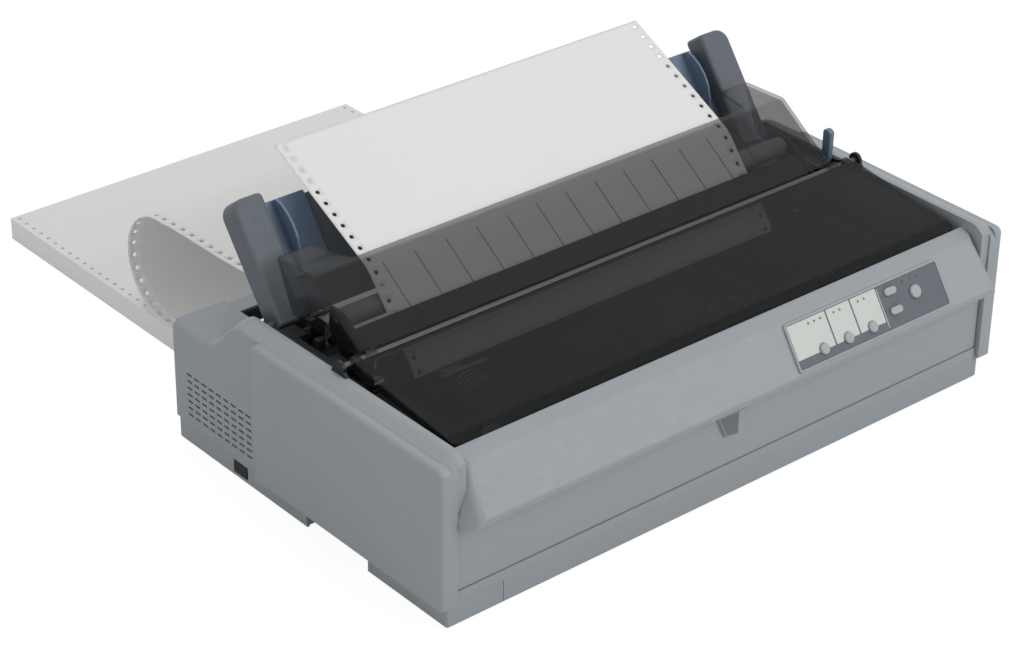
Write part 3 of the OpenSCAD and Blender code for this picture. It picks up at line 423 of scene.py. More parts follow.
def reckon(tree, operation, a, b=0.0):
    """Output of a Math node on two values."""
    return add(tree, "Math", {0: a, 1: b}, operation=operation).outputs[0]


def paper_finish(name, sheet_gap_mm=None):
    """White paper. A web, without a sheet gap, has faint ruled lines from its own UV map in millimetres: three
    to the inch, each third one darker. A stack shows the edges of its sheets as fine level lines."""
    material, tree, shader = material_start(name)
    place = add(tree, "TexCoord")
    fibre = add(tree, "TexNoise", {"Vector": place.outputs["Object"], "Scale": 900.0, "Detail": 4.0})
    cloudy = add(tree, "TexNoise", {"Vector": place.outputs["Object"], "Scale": 9.0, "Detail": 3.0})
    plain = tone(tree, paper_white, 0.018, cloudy.outputs["Fac"])
    if sheet_gap_mm:
        height = add(tree, "SeparateXYZ", {"Vector": place.outputs["Object"]}).outputs["Z"]
        wavy = reckon(tree, "MULTIPLY", cloudy.outputs["Fac"], 0.004)
        turns = reckon(tree, "MULTIPLY", reckon(tree, "ADD", height, wavy), 1000 / sheet_gap_mm)
        lines = reckon(tree, "PINGPONG", turns, 1.0)
        facing = add(tree, "SeparateXYZ", {"Vector": add(tree, "NewGeometry").outputs["True Normal"]})
        upward = reckon(tree, "ABSOLUTE", facing.outputs["Z"])
        share = reckon(tree, "MULTIPLY", lines, reckon(tree, "SUBTRACT", 1.0, upward))
        strength = 0.16
    else:
        along = add(tree, "SeparateXYZ", {"Vector": place.outputs["UV"]}).outputs["Y"]
        rules = []
        for spacing, width, weight in ((inch, 0.35, 0.9), (inch / 3, 0.30, 0.22)):
            away = reckon(tree, "PINGPONG", along, spacing / 2)
            rules.append(add(tree, "MapRange", {"Value": away, "From Min": width, "From Max": 0.0,
                                                "To Max": weight}).outputs[0])
        share = reckon(tree, "MAXIMUM", *rules)
        strength = 0.11
    inked = add(tree, "Mix", {"Factor": reckon(tree, "MULTIPLY", share, strength)}, data_type="RGBA")
    tree.links.new(plain, inked.inputs["A"])
    inked.inputs["B"].default_value = (0.30, 0.30, 0.30, 1)
    tree.links.new(inked.outputs["Result"], shader.inputs["Base Color"])
    bump = add(tree, "Bump", {"Height": fibre.outputs["Fac"], "Strength": 0.12, "Distance": 0.0001})
    tree.links.new(bump.outputs["Normal"], shader.inputs["Normal"])
    shader.inputs["Roughness"].default_value = 0.85
    # A faint glow in the paper's own white is painted light: it lifts the shade inside the loop and on the
    # stack.
    shader.inputs["Emission Color"].default_value = paper_white + (1,)
    shader.inputs["Emission Strength"].default_value = 0.09
    shader.inputs["Specular IOR Level"].default_value = 0.25
    return material


web_paper = paper_finish("web_paper")
stack_paper = paper_finish("stack_paper", 0.9)
print("all finishes", len(bpy.data.materials))

# %% [markdown]
# Measures that pieces share
#
# Some planes and centres of the machine carry many pieces: the walls, the deck, the rails' tops, the platen,
# the pins and the steel rod. They are named once, as on a drawing, and stand where the CAD model has them.
# Measures of a single piece stay with that piece.

# %% Shared measures
wall = 3.0
half_w, side_x, rail_x, opening_x, slot_x = 316.0, 308.0, 290.0, 299.0, 255.0
front_y, rear_y = -188.0, 183.0
skirt_z, lower_z, deck_z, rail_z, panel_z = 8.0, 24.0, 118.0, 158.0, 152.0
platen_y, platen_z = -8.0, 118.0
door_pin, guide_pin, rod_centre = (-182, 37), (76.9, 149.2), (-30.6, 163.0)
lip_foot_y, lip_foot_z = -206.0, 107.0
print("case", 2 * half_w, "mm wide, its rails", rail_z, "mm high")

# %% [markdown]
# Side rails and side panels
#
# Each side of the upper case is a hollow cheek: a tall side wall that rolls over into the top rail, drops in a
# long S to the rear deck, and carries a raised panel on its outer face. The S is half a cosine. The cheek is
# its side outline carried across 18 mm, let down a little more at each step outwards, so its top leans and
# then rounds over. The panel is a second outline, and the front is stepped back where the lip runs into it.

# %% Cheeks
lean_x, ease, roll = 296, 2.0, 5.0
fall = np.linspace(0, 1, 15)[:, None]
slope = np.hstack([82 + 53 * fall, deck_z + (rail_z - deck_z) * (1 + np.cos(np.pi * fall)) / 2]).tolist()
rail_outline = rounded(
    [(front_y, skirt_z), (front_y, 149), (-178, rail_z)] + slope + [(rear_y, deck_z), (rear_y, skirt_z)],
    [0, 7, 14] + [0] * len(slope) + [5.4, 0])
panel_outline = rounded([(front_y, skirt_z), (front_y, panel_z), (60, panel_z), (60, skirt_z)], [0, 7, 6, 0], 5)


def rail_shell(xs, insets):
    """Rail carried across: at x its outline is inset, and its top is let down by share * lean + (1 - share) *
    curve. The lean is half of what x is past lean_x, eased in; the curve is a quarter round of radius roll that
    ends at the side wall; share runs from the deck, 0, to the rail's top, 1."""
    rings = []
    for x, d in zip(xs, insets):
        line = inset(rail_outline, d)
        past = x - lean_x
        lean = np.where(past > ease, past, np.clip(past + ease, 0, 2 * ease) ** 2 / (4 * ease)) / 2
        curve = roll - math.sqrt(roll ** 2 - max(x - (side_x - roll), 0) ** 2)
        share = np.clip((line[:, 1] - deck_z) / (rail_z - deck_z), 0, 1)
        down = (share * lean + (1 - share) * curve) * (line[:, 1] > 100)
        rings.append(np.insert(line - np.stack([down * 0, down], 1), 0, x, axis=1))
    return loft(np.array(rings))


cheek = joined(
    rail_shell([rail_x, 290.1, 290.4, 290.8, 294, 295, 296, 297, 298, 300, 303, 304.5, 305.8, 306.8, 307.5,
                side_x], [0.8, 0.4, 0.1] + [0] * 10 + [0.1, 0.4, 1.0]),
    slab(panel_outline, 306, half_w, 0, 4.6, steps=4),
    slab(oblong((front_y, skirt_z), (-150, 145), 2.0), 301, 309, 0.0))
hollow = rail_shell([294.5, 296, 298, 301, 303, 304, side_x - wall], [wall] * 7)
inner_gap = block((289, 296), (-160, 190), (2, 110), 0.2)
front_step = block((270, opening_x + 0.5), (-200, -186.2), (2, 170), 0.1)
door_room = block((270, opening_x), (-200, -165), (2, 110), 0.2)
door_post = block((opening_x, opening_x + wall), (front_y + 1, -166), (skirt_z, 118), 0.3)
door_bore = pin(opening_x - 1, opening_x + wall + 1, door_pin, 1.5, 0)
guide_bore = pin(289, 296, guide_pin, 3.2, 0)
cheek = combined(cheek, *less(hollow, inner_gap, front_step, door_room), *plus(door_post),
                 *less(door_bore, guide_bore))
print("cheek", len(cheek[0]), "points")

# %% [markdown]
# Front lip
#
# The front lip is a shallow roof over the door: a gently sloping ledge, a steep face that carries the control
# panel and a tuck underneath. At each cheek the steep face rolls round a 10 mm edge into a slanting end. The
# outline is carried across, and each end is trimmed by five flat cuts that touch the round of that edge. A
# bevel would ask for a clean edge loop, which the booleans don't leave.

# %% Lip, deck and rear wall
lip_outline = rounded([(-162, 150), (-179, 147), (lip_foot_y, lip_foot_z), (-203, 99), (-186, 95), (-162, 118)],
                      [0.6, 4, 3, 3, 1, 1])
lip_inside = rounded([(-165, 145.6), (-177.5, 143.4), (-202.6, 106.8), (-201, 101.2), (-186, 98), (-158, 112),
                      (-158, 119.5), (-165, 121)], 0.4, 2)
ridge_end, foot_end = np.array([-285.0, -179, 147]), np.array([-290.5, lip_foot_y, lip_foot_z])
back_end = np.array([-298.5, -186, lip_foot_z])
trim_reach, trim_depth = 60, 40


def lip_trims(radius, count):
    """Wedges that cut the left end: planes that touch a round of the given radius, which rolls the slope
    into the slanting end face. Plane k has the normal n between both faces' normals and passes C + radius n,
    with C = E - radius (a + b) / (1 + a.b) for a point E on their edge, a and b being the faces' normals."""
    along = (foot_end - ridge_end) / np.linalg.norm(foot_end - ridge_end)
    slope_way = np.cross(along, [1.0, 0, 0])
    slope_way = slope_way / np.linalg.norm(slope_way) * -np.sign(slope_way[1])
    end_way = np.cross(along, back_end - foot_end)
    end_way = end_way / np.linalg.norm(end_way) * -np.sign(end_way[0])
    middle = (ridge_end + foot_end) / 2
    centre = middle - radius * (slope_way + end_way) / (1 + slope_way @ end_way)
    opening = math.acos(slope_way @ end_way)
    corners = trim_reach * np.array([[-1, -1], [1, -1], [1, 1], [-1, 1]])
    wedges = []
    for k in range(1, count + 1):
        turn = opening * k / count
        way = (math.sin(opening - turn) * slope_way + math.sin(turn) * end_way) / math.sin(opening)
        across = np.cross(way, along)
        near = centre + radius * way + corners[:, :1] * along + corners[:, 1:] * across
        wedges.append(loft(np.stack([near, near + way * trim_depth])))
    return wedges


lip_half, lip_room_half, rear_half = opening_x + 0.4, 268, 306
lip = slab(lip_outline, -lip_half, lip_half, 0.4)
for wedge in lip_trims(10.0, 5):
    lip = cut(lip, wedge, mirrored(wedge))
lip = cut(lip, slab(lip_inside, -lip_room_half, lip_room_half, 0.2))
deck = both(slab(rounded([(132, 115), (132, deck_z), (rear_y, deck_z), (rear_y, 115)], [0, 1, 2.8, 0]),
                 slot_x, 304, 0.8, 0.2))
deck_side = both(slab(oblong((134, 110), (rear_y - 1, 117), 0.4), slot_x, slot_x + wall, 0.3))
rear_wall = slab(
    rounded([(-rear_half, skirt_z), (-rear_half, 114.5), (-slot_x - 0.5, 114.5), (-slot_x - 0.5, 113),
             (slot_x + 0.5, 113), (slot_x + 0.5, 114.5), (rear_half, 114.5), (rear_half, skirt_z)], 0.3, 2),
    rear_y - wall, rear_y, 0.2, axis=1)
rear_flange = block((-slot_x - 1, slot_x + 1), (165, rear_y - 1), (110, 113), 0.5)
front_strip = block((-opening_x + 0.7, opening_x - 0.7), (-184.4, -181.4), (skirt_z, 34.0), 0.3)
bottom_flange = both(block((298, 306.5), (front_y + 2.5, rear_y - 2.5), (skirt_z, 27), 0.4))
print("lip", len(lip[0]), "points")

# %% [markdown]
# Vents, sockets and the finished upper case
#
# The left side has nine columns of seven vents, copies of one slot at an array of places. They are cut in one
# step, with the knob's hole, two sockets and the control panel's window. What lies on the lip's slope is drawn
# flat and then turned by the slope's angle, because a slanting drawing is hard to read.

# %% Vents and sockets
panel_lean = math.radians(90 - math.degrees(math.atan2(27, 40)))
panel_x, panel_foot = 51, 2.5


def on_slope(shape):
    """From the panel's own frame, x across, y up the slope and z out of it, to the machine: the frame is
    turned by the slope's angle about X and stands a little above the slope's foot."""
    c, s = math.cos(panel_lean), math.sin(panel_lean)
    x, y, z = shape[0].T
    y = y + panel_foot
    return np.stack([x + panel_x, lip_foot_y + y * c - z * s, lip_foot_z + y * s + z * c], 1), shape[1]


vent_rows, vent_columns = np.meshgrid(np.arange(7), np.arange(9), indexing="ij")
vent_start, vent_pitch = (72, 32.5), (10.6, 6.6)
vent_shifts = np.stack([np.zeros(vent_rows.size), vent_start[0] + vent_columns.ravel() * vent_pitch[0],
                        vent_start[1] + vent_rows.ravel() * vent_pitch[1]], 1)
vents = copies(slab(oblong((0, 0), (7.4, 2.2), 0.5, 2), -side_x - 2, -side_x + wall + 1, 0), vent_shifts)
table_cut = block((-330, 330), (-230, 230), (0, lower_z), 0.1)
shaft_hole = pin(rail_x - 2, half_w + 2, (platen_y, platen_z), 6.5, 0, count=40)
inlet_hole = block((208, 240), (170, 190), (34, 58), 0.3)
socket_hole = block((-42, 32), (170, 190), (25, 43), 0.3)
panel_w, panel_h = 184.0, 43.0
panel_hole = on_slope(slab(oblong((5, 5), (panel_w - 5, panel_h - 5), 1, 2), -9, 4, 0, axis=2))
upper_shape = combined(
    cheek, *plus(mirrored(cheek), deck, deck_side, rear_wall, rear_flange, lip, front_strip, bottom_flange),
    *less(table_cut, vents, shaft_hole, inlet_hole, socket_hole, panel_hole))
upper_case = piece("upper_case_skin", upper_shape, "case", case_grey, ["upper_case"])
print("upper case", len(upper_case.data.polygons), "faces")

# %% [markdown]
# Lower case and front door
#
# The lower case is a tray under the whole machine, set in at the sides, with a hand hold in each side, an
# opening for the power switch and a fine seam at the front. The door is a flat panel that hinges at its foot;
# its finger pull tapers downwards, and a thin darker plate on its face is painted shade.

# %% Lower case and door
tray_floor = oblong((-303, -180), (303, 180), 4)
lower_case = cut(
    slab(oblong((-306, -182.6), (306, 182.6), 2.4), 1.5, lower_z, 1.6, 0.2, axis=2),
    slab(tray_floor, 5, lower_z + 2, 0.3, axis=2), slab(tray_floor, 0, 3, 0.3, axis=2))
grip_box = both(block((290, 305.6), (-85, 3), (3, 23.8), 0.5))
grip_hole = both(block((293, 310), (-82, 0), (-2, 21), 1.5))
switch_hole = block((-310, -302), (82, 102.5), (5.5, 18), 0.4)
seam = block((-248.9, -248.2), (-184, -181.9), (0, 26), 0.1)
switch_shelf = block((-305, -297), (79, 105.5), (18, 20), 0.3)
lower_shape = combined(lower_case, *plus(grip_box, switch_shelf), *less(grip_hole, switch_hole, seam))
piece("lower_case_skin", lower_shape, "case", case_grey, ["lower_case"])

door_half = opening_x - 1.1
door_panel = slab(oblong((-door_half, 34.5), (door_half, 93), 0.8), -183.5, -180.5, 0.6, 0.3, axis=1)
pull_outline = rounded([(-22, 84.4), (-12, 63.6), (9.4, 61.1), (9.4, 84.4)], [0.6, 1.5, 1.5, 0.6])
finger_pull = slab(pull_outline, -186.6, -182, 0.5, 0, axis=1)
door_pins = both(pin(opening_x - 3, opening_x + 2.5, door_pin, 1.2))
piece("front_door_skin", joined(door_panel, finger_pull, door_pins), "front_door", case_grey,
      ["front_door"])
# A thin darker plate laid on the finger pull's face: painted shade.
pull_shade_plate = slab(rounded([(-20.6, 83.6), (-11.4, 65), (0.8, 63.2), (0.8, 83.6)], 0.5), -186.95, -186.2, 0.15,
                 axis=1)
piece("pull_shade_plate", pull_shade_plate, "front_door", pull_painted_shade)
print("door", 2 * door_half, "mm wide")

# %% [markdown]
# Smoked covers
#
# The printer cover and the rear flap are clear plastic tinted nearly black. Such a sheet darkens what lies
# behind it once on the way in and once on the way out. Here each face of the sheet lets a share of the light
# through, so a sheet of two faces gives the square of it, and the finish stays glossy. Glass with real
# refraction would look alike, but takes far more light paths to come out clean.

# %% Printer cover
cover_half, cover_room_half = 283, 280.5
cover_line = [(-161.6, 150.9), (-152, 154.2), (-38, 168)]
cover_outline = rounded(cover_line + [(-38, 140), (-161.6, 130)], [0, 8, 0, 0, 0])
cover_room = rounded([(-175, 120), (-175, 144), (-161.6, 148.5), (-152, 151.7), (-30, 166.4), (-30, 120)], 0)
cover_foot = rounded([(-180, 110), (-180, 148.4), (-161.6, 148.4), (-152, 148.2), (-30, 159.7), (-30, 110)], 0)


def hinge_eye(x0, x1, web):
    """Hinge eye: a round boss on the rod, with a web that runs to its cover."""
    return joined(slab(rounded(web, 0.4, 2), x0, x1, 0.4), pin(x0, x1, rod_centre, 5.5, 0.5, count=32))


cover_web = [(-46, 166.2), (-39, 167.2), (-30.6, 168), (-30.6, 158), (-39, 159), (-46, 159.2)]
cover_plan = slab(oblong((-cover_half, -161.7), (cover_half, -20), [7, 7, 1, 1], 6), 120, 180, 0.1, axis=2)
cover_eye = hinge_eye(273, 281, cover_web)
cover_shape = combined(
    slab(cover_outline, -cover_half, cover_half, 2.0), ("INTERSECT", cover_plan),
    *less(slab(cover_foot, -300, 300, 0), slab(cover_room, -cover_room_half, cover_room_half, 0)),
    *plus(cover_eye, mirrored(cover_eye)))
piece("printer_cover_skin", cover_shape, "printer_cover", cover_smoked, ["printer_cover"])
cover_band = slab([(-150, 150.7), (-138, 152.2), (-138, 152.9), (-150, 151.5)], -280, 280, 0)
piece("cover_band", cover_band, "printer_cover", satin_black)
print("cover", len(cover_shape[1]), "faces")

# %% [markdown]
# Rear flap, steel rod and side shelves
#
# The flap is a thin hood that is open below, with a notch for the paper in its rear edge and a row of ribs
# under its slope. It swings on the same steel rod as the cover. Beside it the machine is closed by two dark
# shelves with a slot for each lever, and the rod ends in dark ears on the rails.

# %% Rear flap
flap_outline = rounded([(-24, 164.3), (38.5, 207), (88, 205), (68, 158), (-10, 158)], [0, 6, 2.4, 2.4, 2.4], 6)
flap_room = rounded([(-40.4, 150), (39.2, 204.3), (96, 202.1), (96, 150)], [0, 4, 0, 0], 6)
notch = slab(rounded([(-223, 44), (223, 44), (236, 101), (-236, 101)], [6, 6, 1, 1]), 196, 215, 0.1, axis=2)
face_run = np.array([62.5, 42.7]) / math.hypot(62.5, 42.7)
face_down = np.array([face_run[1], -face_run[0]])
flap_wall, rib_count, rib_pitch = 2.2, 13, 33.0
rib_foot = np.array([-24, 164.3]) + face_run * 14 + face_down * flap_wall
rib_corners = [rib_foot, rib_foot + face_run * 54, rib_foot + face_run * 52 + face_down * flap_wall,
               rib_foot + face_run * 2 + face_down * flap_wall]
rib_shifts = [[(n - rib_count // 2) * rib_pitch, 0, 0] for n in range(rib_count)]
ribs = copies(slab(rounded(rib_corners, 0.5, 2), -0.8, 0.8, 0.3, steps=2), rib_shifts)
flap_web = [(-22.6, 165.3), (-30.6, 168), (-30.6, 158), (-14, 160)]
flap_half, flap_room_half = 266.5, 264
flap_eye = hinge_eye(256.5, flap_half, flap_web)
flap_shape = combined(
    slab(flap_outline, -flap_half, flap_half, 2.2),
    *less(slab(flap_room, -flap_room_half, flap_room_half, 0.8), notch),
    *plus(ribs, flap_eye, mirrored(flap_eye)))
piece("guide_flap_skin", flap_shape, "guide_flap", smoked, ["guide_flap"])
print("flap", len(flap_shape[1]), "faces,", rib_count, "ribs")

# %% Rod and shelves
rod_half = 292.8
piece("hinge_rod_skin", pin(-rod_half, rod_half, rod_centre, 3.0, 0.6, count=32), "case", black_steel,
      ["hinge_rod"])


def shelf(x, slot_along_x, slot_along_y):
    """Side shelf between two x, with a slot for a lever between two x and two y."""
    return cut(block(x, (-20, 62), (147, 153.5), 0.8), block(slot_along_x, slot_along_y, (140, 160), 0.4))


left_shelf = shelf((-289.6, -268.4), (-279.0, -266), (2, 42))
right_shelf = shelf((268.4, 289.6), (278.6, 287.6), (-17, 32))
curb = both(block((286.4, 289.7), (-22, 62), (148, 157.2), 0.8))
piece("side_shelves", together(left_shelf, right_shelf, curb), "case", satin_black)
ear_turn, ear_r = np.radians(np.linspace(190, -10, 21)), 6.8
ear_round = np.stack([rod_centre[0] + ear_r * np.cos(ear_turn), rod_centre[1] + ear_r * np.sin(ear_turn)], 1)
ear_outline = rounded(ear_round.tolist() + [(-17, 154), (-44, 154)], 0)
piece("rod_ears", both(slab(ear_outline, 290.1, 293.4, 0.4)), "case", satin_black)
print("shelves and ears on both sides")

# %% [markdown]
# Paper guide
#
# The leaning guide is two hollow wings joined by a tray, where single sheets rest. A wing is an outline with
# one big soft corner, carried through its thickness with a wide rolled front rim, and hollowed from behind.
# Everything is drawn flat and then leant back about the guide's foot.

# %% Guide and edge guides
guide_lean = math.radians(53.13)
guide_foot_y, guide_foot_z = 65.7, 152.6


def on_guide(shape):
    """From the guide's own frame, y up the guide and z out of its front, to the machine: turned by the lean
    about X, and stood on the guide's foot."""
    c, s = math.cos(guide_lean), math.sin(guide_lean)
    x, y, z = shape[0].T
    return np.stack([x, guide_foot_y + y * c - z * s, guide_foot_z + y * s + z * c], 1), shape[1]


wing_outline = rounded([(247, 0), (279, 0), (279, 110), (247, 110)], [0, 0, 12, 4.2], 6)
wing_rim = slab(wing_outline, -22, 0, 0.6, 4.0, axis=2, steps=4)
wing_room = slab(inset(wing_outline, 2.5), -24, -2.5, 0.4, axis=2)
tray = slab(oblong((-248.5, 2), (248.5, 98), 1), -20, -17, 0.5, axis=2)
tray_ribs = copies(slab(oblong((-1, 6), (1, 92), 0.4, 2), -22, -19.6, 0.3, axis=2),
                   [[x, 0, 0] for x in range(-200, 201, 50)])
guide_pins = both(slab(ring((4, -11), 3, 24), 276, 295.4, 0.5))
wing = cut(wing_rim, wing_room)
guide_shape = joined(wing, mirrored(wing), tray, tray_ribs, guide_pins)
piece("paper_guide_skin", on_guide(guide_shape), "paper_guide", guide_grey, ["paper_guide"])

fin_outline = rounded([(36, -15), (100, -15), (100.5, -8), (95, -3), (86, 1), (75, 3), (64, 2), (52, -3),
                       (42, -9)], [0, 0] + [3] * 7, 4)
edge_plate = slab(oblong((-241, 34), (-201, 101), 2.5), -16.6, -14, 0.8, 0.8, axis=2)
edge_hook = slab(oblong((-241, -22.2), (-201, -14.2), 1.2), 98.4, 101, 0.6, axis=1)
edge_lip = slab(oblong((-241, 92.4), (-201, 99.4), 0.6), -22.6, -20.6, 0.4, axis=2)
edge_fin = slab(fin_outline, -234, -231.6, 0.7)
edge_shape = joined(edge_plate, edge_fin, edge_hook, edge_lip)
for name, shape in (("edge_guide_left", edge_shape), ("edge_guide_right", mirrored(edge_shape))):
    piece(name + "_skin", on_guide(shape), name, navy, [name])
print("guide", len(guide_shape[1]), "faces, each edge guide", len(edge_shape[1]))

# %% [markdown]
# Control panel
#
# The panel is a slate plate in a pale frame, with three cream fields, a thin divider line, small lamps and six
# push buttons, each on its own sliding body. Every layer is a slab with a narrow rolled edge, drawn flat. The
# buttons' holes are cut through all of them with one shape, so the layers can't drift apart.

# %% Panel, buttons and lamps
round_places, round_big = [(33, 11), (62, 11), (91, 11)], (149, 24)
oval_places = [(122, 33), (122, 16)]


def oval(place, spare, radius, steps):
    """Outline of an oval button at a place, 14 by 7 mm and spare more on every side."""
    reach = np.array([7, 3.5]) + spare
    return oblong(place - reach, place + reach, radius, steps)


button_holes = together(
    *[slab(ring(place, 5.4, 32), -3, 6, 0, axis=2) for place in round_places],
    slab(ring(round_big, 6.4, 36), -3, 6, 0, axis=2),
    *[slab(oval(place, 0.4, 3.8, 6), -3, 6, 0, axis=2) for place in oval_places])
rim_w, face_gap, field_gap = 2.0, 2.2, 2.6
panel_rim = cut(slab(oblong((0, 0), (panel_w, panel_h), 3), 0, 2.0, 0.2, 0.7, axis=2),
                slab(oblong((rim_w, rim_w), (panel_w - rim_w, panel_h - rim_w), 1.6), 1.2, 4, 0.1, axis=2),
                button_holes)
panel_face = cut(slab(oblong((face_gap, face_gap), (panel_w - face_gap, panel_h - face_gap), 1.5), 0.6, 1.6,
                      0.2, 0.3, axis=2), button_holes)
field_spans = [(field_gap, 46.5), (48.1, 75.5), (77.1, 107)]
fields = together(*[cut(slab(oblong((a, 10), (b, panel_h - field_gap), 0.8), 1.3, 1.75, 0.1, 0.15, axis=2),
                        button_holes) for a, b in field_spans])
divider = slab(oblong((108.2, 4), (108.9, 39), 0.3, 2), 1.4, 1.85, 0.1, axis=2)
for name, shape, material, slot, stands_for in (
        ("panel_rim", panel_rim, case_grey, "case_plastic", ()),
        ("panel_face", panel_face, slate, "dark_plastic", ["control_panel"]),
        ("panel_fields", fields, cream, "dark_plastic", ()),
        ("panel_dividers", divider, cream, "dark_plastic", ())):
    piece(name, on_slope(shape), "case", material, stands_for)


def button(name, outline, collar):
    """Push button: a cap with a rolled top on a stem, and a wider collar behind the panel."""
    cap = slab(outline, -1.0, 4.0, 0.2, 1.3, axis=2, steps=4)
    back = slab(collar, -2.1, -0.3, 0.3, axis=2)
    piece(name + "_cap", on_slope(joined(cap, back)), name, button_grey, [name])


for name, place in zip(("button_left", "button_middle", "button_right"), round_places):
    button(name, ring(place, 5, 36), ring(place, 6.5, 36))
button("button_round", ring(round_big, 6, 40), ring(round_big, 7.5, 40))
for name, place in zip(("button_oval_top", "button_oval_low"), oval_places):
    button(name, oval(place, 0, 3.45, 8), oval(place, 1.1, 4.5, 8))
lamp_xs, lamp_y = (26, 33, 40, 56, 63, 85, 92, 140, 149, 158), 36
lamps = copies(slab(ring((0, 0), 1.0, 16), 1.4, 2.5, 0.1, 0.45, axis=2, steps=3),
               [[x, lamp_y, 0] for x in lamp_xs])
piece("panel_lamps_skin", on_slope(lamps), "case", lamp_green, ["panel_lamps"])
print("panel with", len(lamp_xs), "lamps")

# %% [markdown]
# Knob, levers and switch
#
# Small parts that a hand moves have the softest edges. The knob is turned: its radius follows a fluted wave
# round the rim. The levers are outlines of their side view with rolled rims. The power switch and the feet are
# here too, since they are as small and as soft.

# %% Hand parts
flute_count, knob_r, flute_depth = 24, 17.6, 0.7
flutes = np.linspace(0, 2 * np.pi, 6 * flute_count, endpoint=False)
knob_reach = knob_r - flute_depth * np.clip(np.cos(flute_count * flutes), -0.6, 1)


def knob_ring(x, share):
    """Ring of the knob at x: share times the fluted radius, knob_r - flute_depth cos (flute_count t), with the
    wave clipped below."""
    return np.stack([np.full(len(flutes), x), platen_y + share * knob_reach * np.cos(flutes),
                     platen_z + share * knob_reach * np.sin(flutes)], 1)


knob_rings = [(316.7, 0.4), (316.7, 0.93), (317.6, 1.0), (329.2, 1.0), (331.4, 0.965), (332.5, 0.88),
              (332.5, 0.62), (331.2, 0.56), (331.2, 0.2)]
knob = loft(np.stack([knob_ring(x, share) for x, share in knob_rings]))
piece("paper_knob_skin", knob, "platen", satin_black, ["paper_knob"])

lever = joined(
    slab(rounded([(-1.5, 131), (-8, 158), (-8.5, 184), (-5, 186), (-2, 186), (1, 184), (1, 158), (7.5, 131)],
                 [0, 6, 2.4, 2.4, 2.4, 2.4, 6, 0]), 280, 286, 1.2),
    pin(280, 286, (3, 131), 6, 0.8, count=32))
piece("release_lever_skin", lever, "release_lever", navy, ["release_lever"])
gap_arm = joined(
    slab(rounded([(18, 130), (19, 159.8), (25, 159.8), (26, 130)], [1, 2, 2, 1]), -276.2, -271.8, 0.7),
    pin(-276.2, -271.8, (22, 130), 6, 0.7), pin(-276.2, -268, (22, 157), 3, 0.7))
piece("gap_lever_skin", gap_arm, "gap_lever", satin_black, ["gap_lever"])
rocker_pin = (-300, 92.25)
rocker = joined(
    block((-306.4, -302), (83.1, 101.4), (6, 17.5), 0.8), pin(6, 17.5, rocker_pin, 3, 0.3, axis=2),
    pin(3, 19.5, rocker_pin, 1, 0.2, axis=2))
piece("power_switch_skin", rocker, "power_switch", satin_black, ["power_switch"])
feet = copies(turned([(0, 0), (0, 7.4), (0.9, 8.8), (3, 9)], (0, 0), axis=2),
              [[x, y, 0] for x, y in ((0, 0), (-270, -150), (270, -150), (-270, 150), (270, 150))])
piece("feet_skin", feet, "case", ground_rubber, ["feet"])
print("knob with", flute_count, "flutes")

# %% [markdown]
# The web of paper
#
# Continuous paper leaves the stack, loops over, feeds through the tractors, wraps the platen and climbs out
# between the two covers. Seen from the side its path is a chain of arcs and straight runs, and each arc starts
# in the direction in which the last run ended. A cloth simulation would find such a path too, but not the one
# that the CAD sheet has.

# %% Paper path
platen_centre, wrap_r = np.array([platen_y, platen_z]), 18.7
exit_turn, sheet_turn = math.radians(50), math.radians(26.5)
sheet_foot, bend_r = np.array([52, 206.5]), 40


def arc(centre, radius, a0, a1, count):
    """Points centre + radius (cos a, sin a) for angles a0 to a1, in degrees."""
    a = np.radians(np.linspace(a0, a1, count))
    return np.stack([centre[0] + radius * np.cos(a), centre[1] + radius * np.sin(a)], 1)


feed_z, loop_centre, loop_r = 121.2, np.array([322.0, 75.0]), 52.0
stack_start, stack_z = 302.6, 22.0
exit_dir = np.array([math.cos(exit_turn), math.sin(exit_turn)])
sheet_dir = np.array([math.cos(sheet_turn), math.sin(sheet_turn)])
exit_start = platen_centre + wrap_r * np.array([-exit_dir[1], exit_dir[0]])
to_foot = sheet_foot - exit_start
run = (to_foot[0] * sheet_dir[1] - to_foot[1] * sheet_dir[0]) / (
    exit_dir[0] * sheet_dir[1] - exit_dir[1] * sheet_dir[0])
corner = exit_start + run * exit_dir
bend_len = bend_r * math.tan((exit_turn - sheet_turn) / 2)
bend_centre = corner - bend_len * exit_dir + bend_r * np.array([exit_dir[1], -exit_dir[0]])
dip = np.array([90.0, feed_z])
dip_way = dip - platen_centre
wrap_end = 270 + math.degrees(
    math.asin(wrap_r / np.linalg.norm(dip_way)) - math.atan2(-dip_way[1], dip_way[0]))
rise = np.linspace(0, 1, 14)[1:-1, None]
rise_y, loop_top, loop_count = 205, loop_centre[1] + loop_r, 40
path = np.concatenate([
    [sheet_foot + 121 * sheet_dir, corner + (bend_len + 30) * sheet_dir],
    arc(bend_centre, bend_r, 116.5, 140, 8), arc(platen_centre, wrap_r, 140, wrap_end, 30),
    [dip + [2, 0], [160, feed_z], [rise_y, feed_z]],
    np.hstack([rise_y + (loop_centre[0] - rise_y) * rise,
               feed_z + (loop_top - feed_z) * (1 - np.cos(np.pi * rise)) / 2]),
    arc(loop_centre, loop_r, 90, -90, loop_count), [[stack_start, stack_z + 0.5]]])
steps_along = np.concatenate([[0], np.cumsum(np.linalg.norm(np.diff(path, axis=0), axis=1))])
web_length = steps_along[-1]
print("paper from the sheet's top to the stack", round(float(web_length)), "mm")

# %% [markdown]
# The punched web
#
# The sheet has a strip of sprocket holes down each side, half an inch apart. A strip is a row of cells, each a
# square with a round hole and a ring of quads between, so the holes are real and light falls through. A point
# on the flat sheet is (across, distance along the path), and its place on the path is looked up. The flat
# places stay with the mesh as its UV map, for the ruled lines.

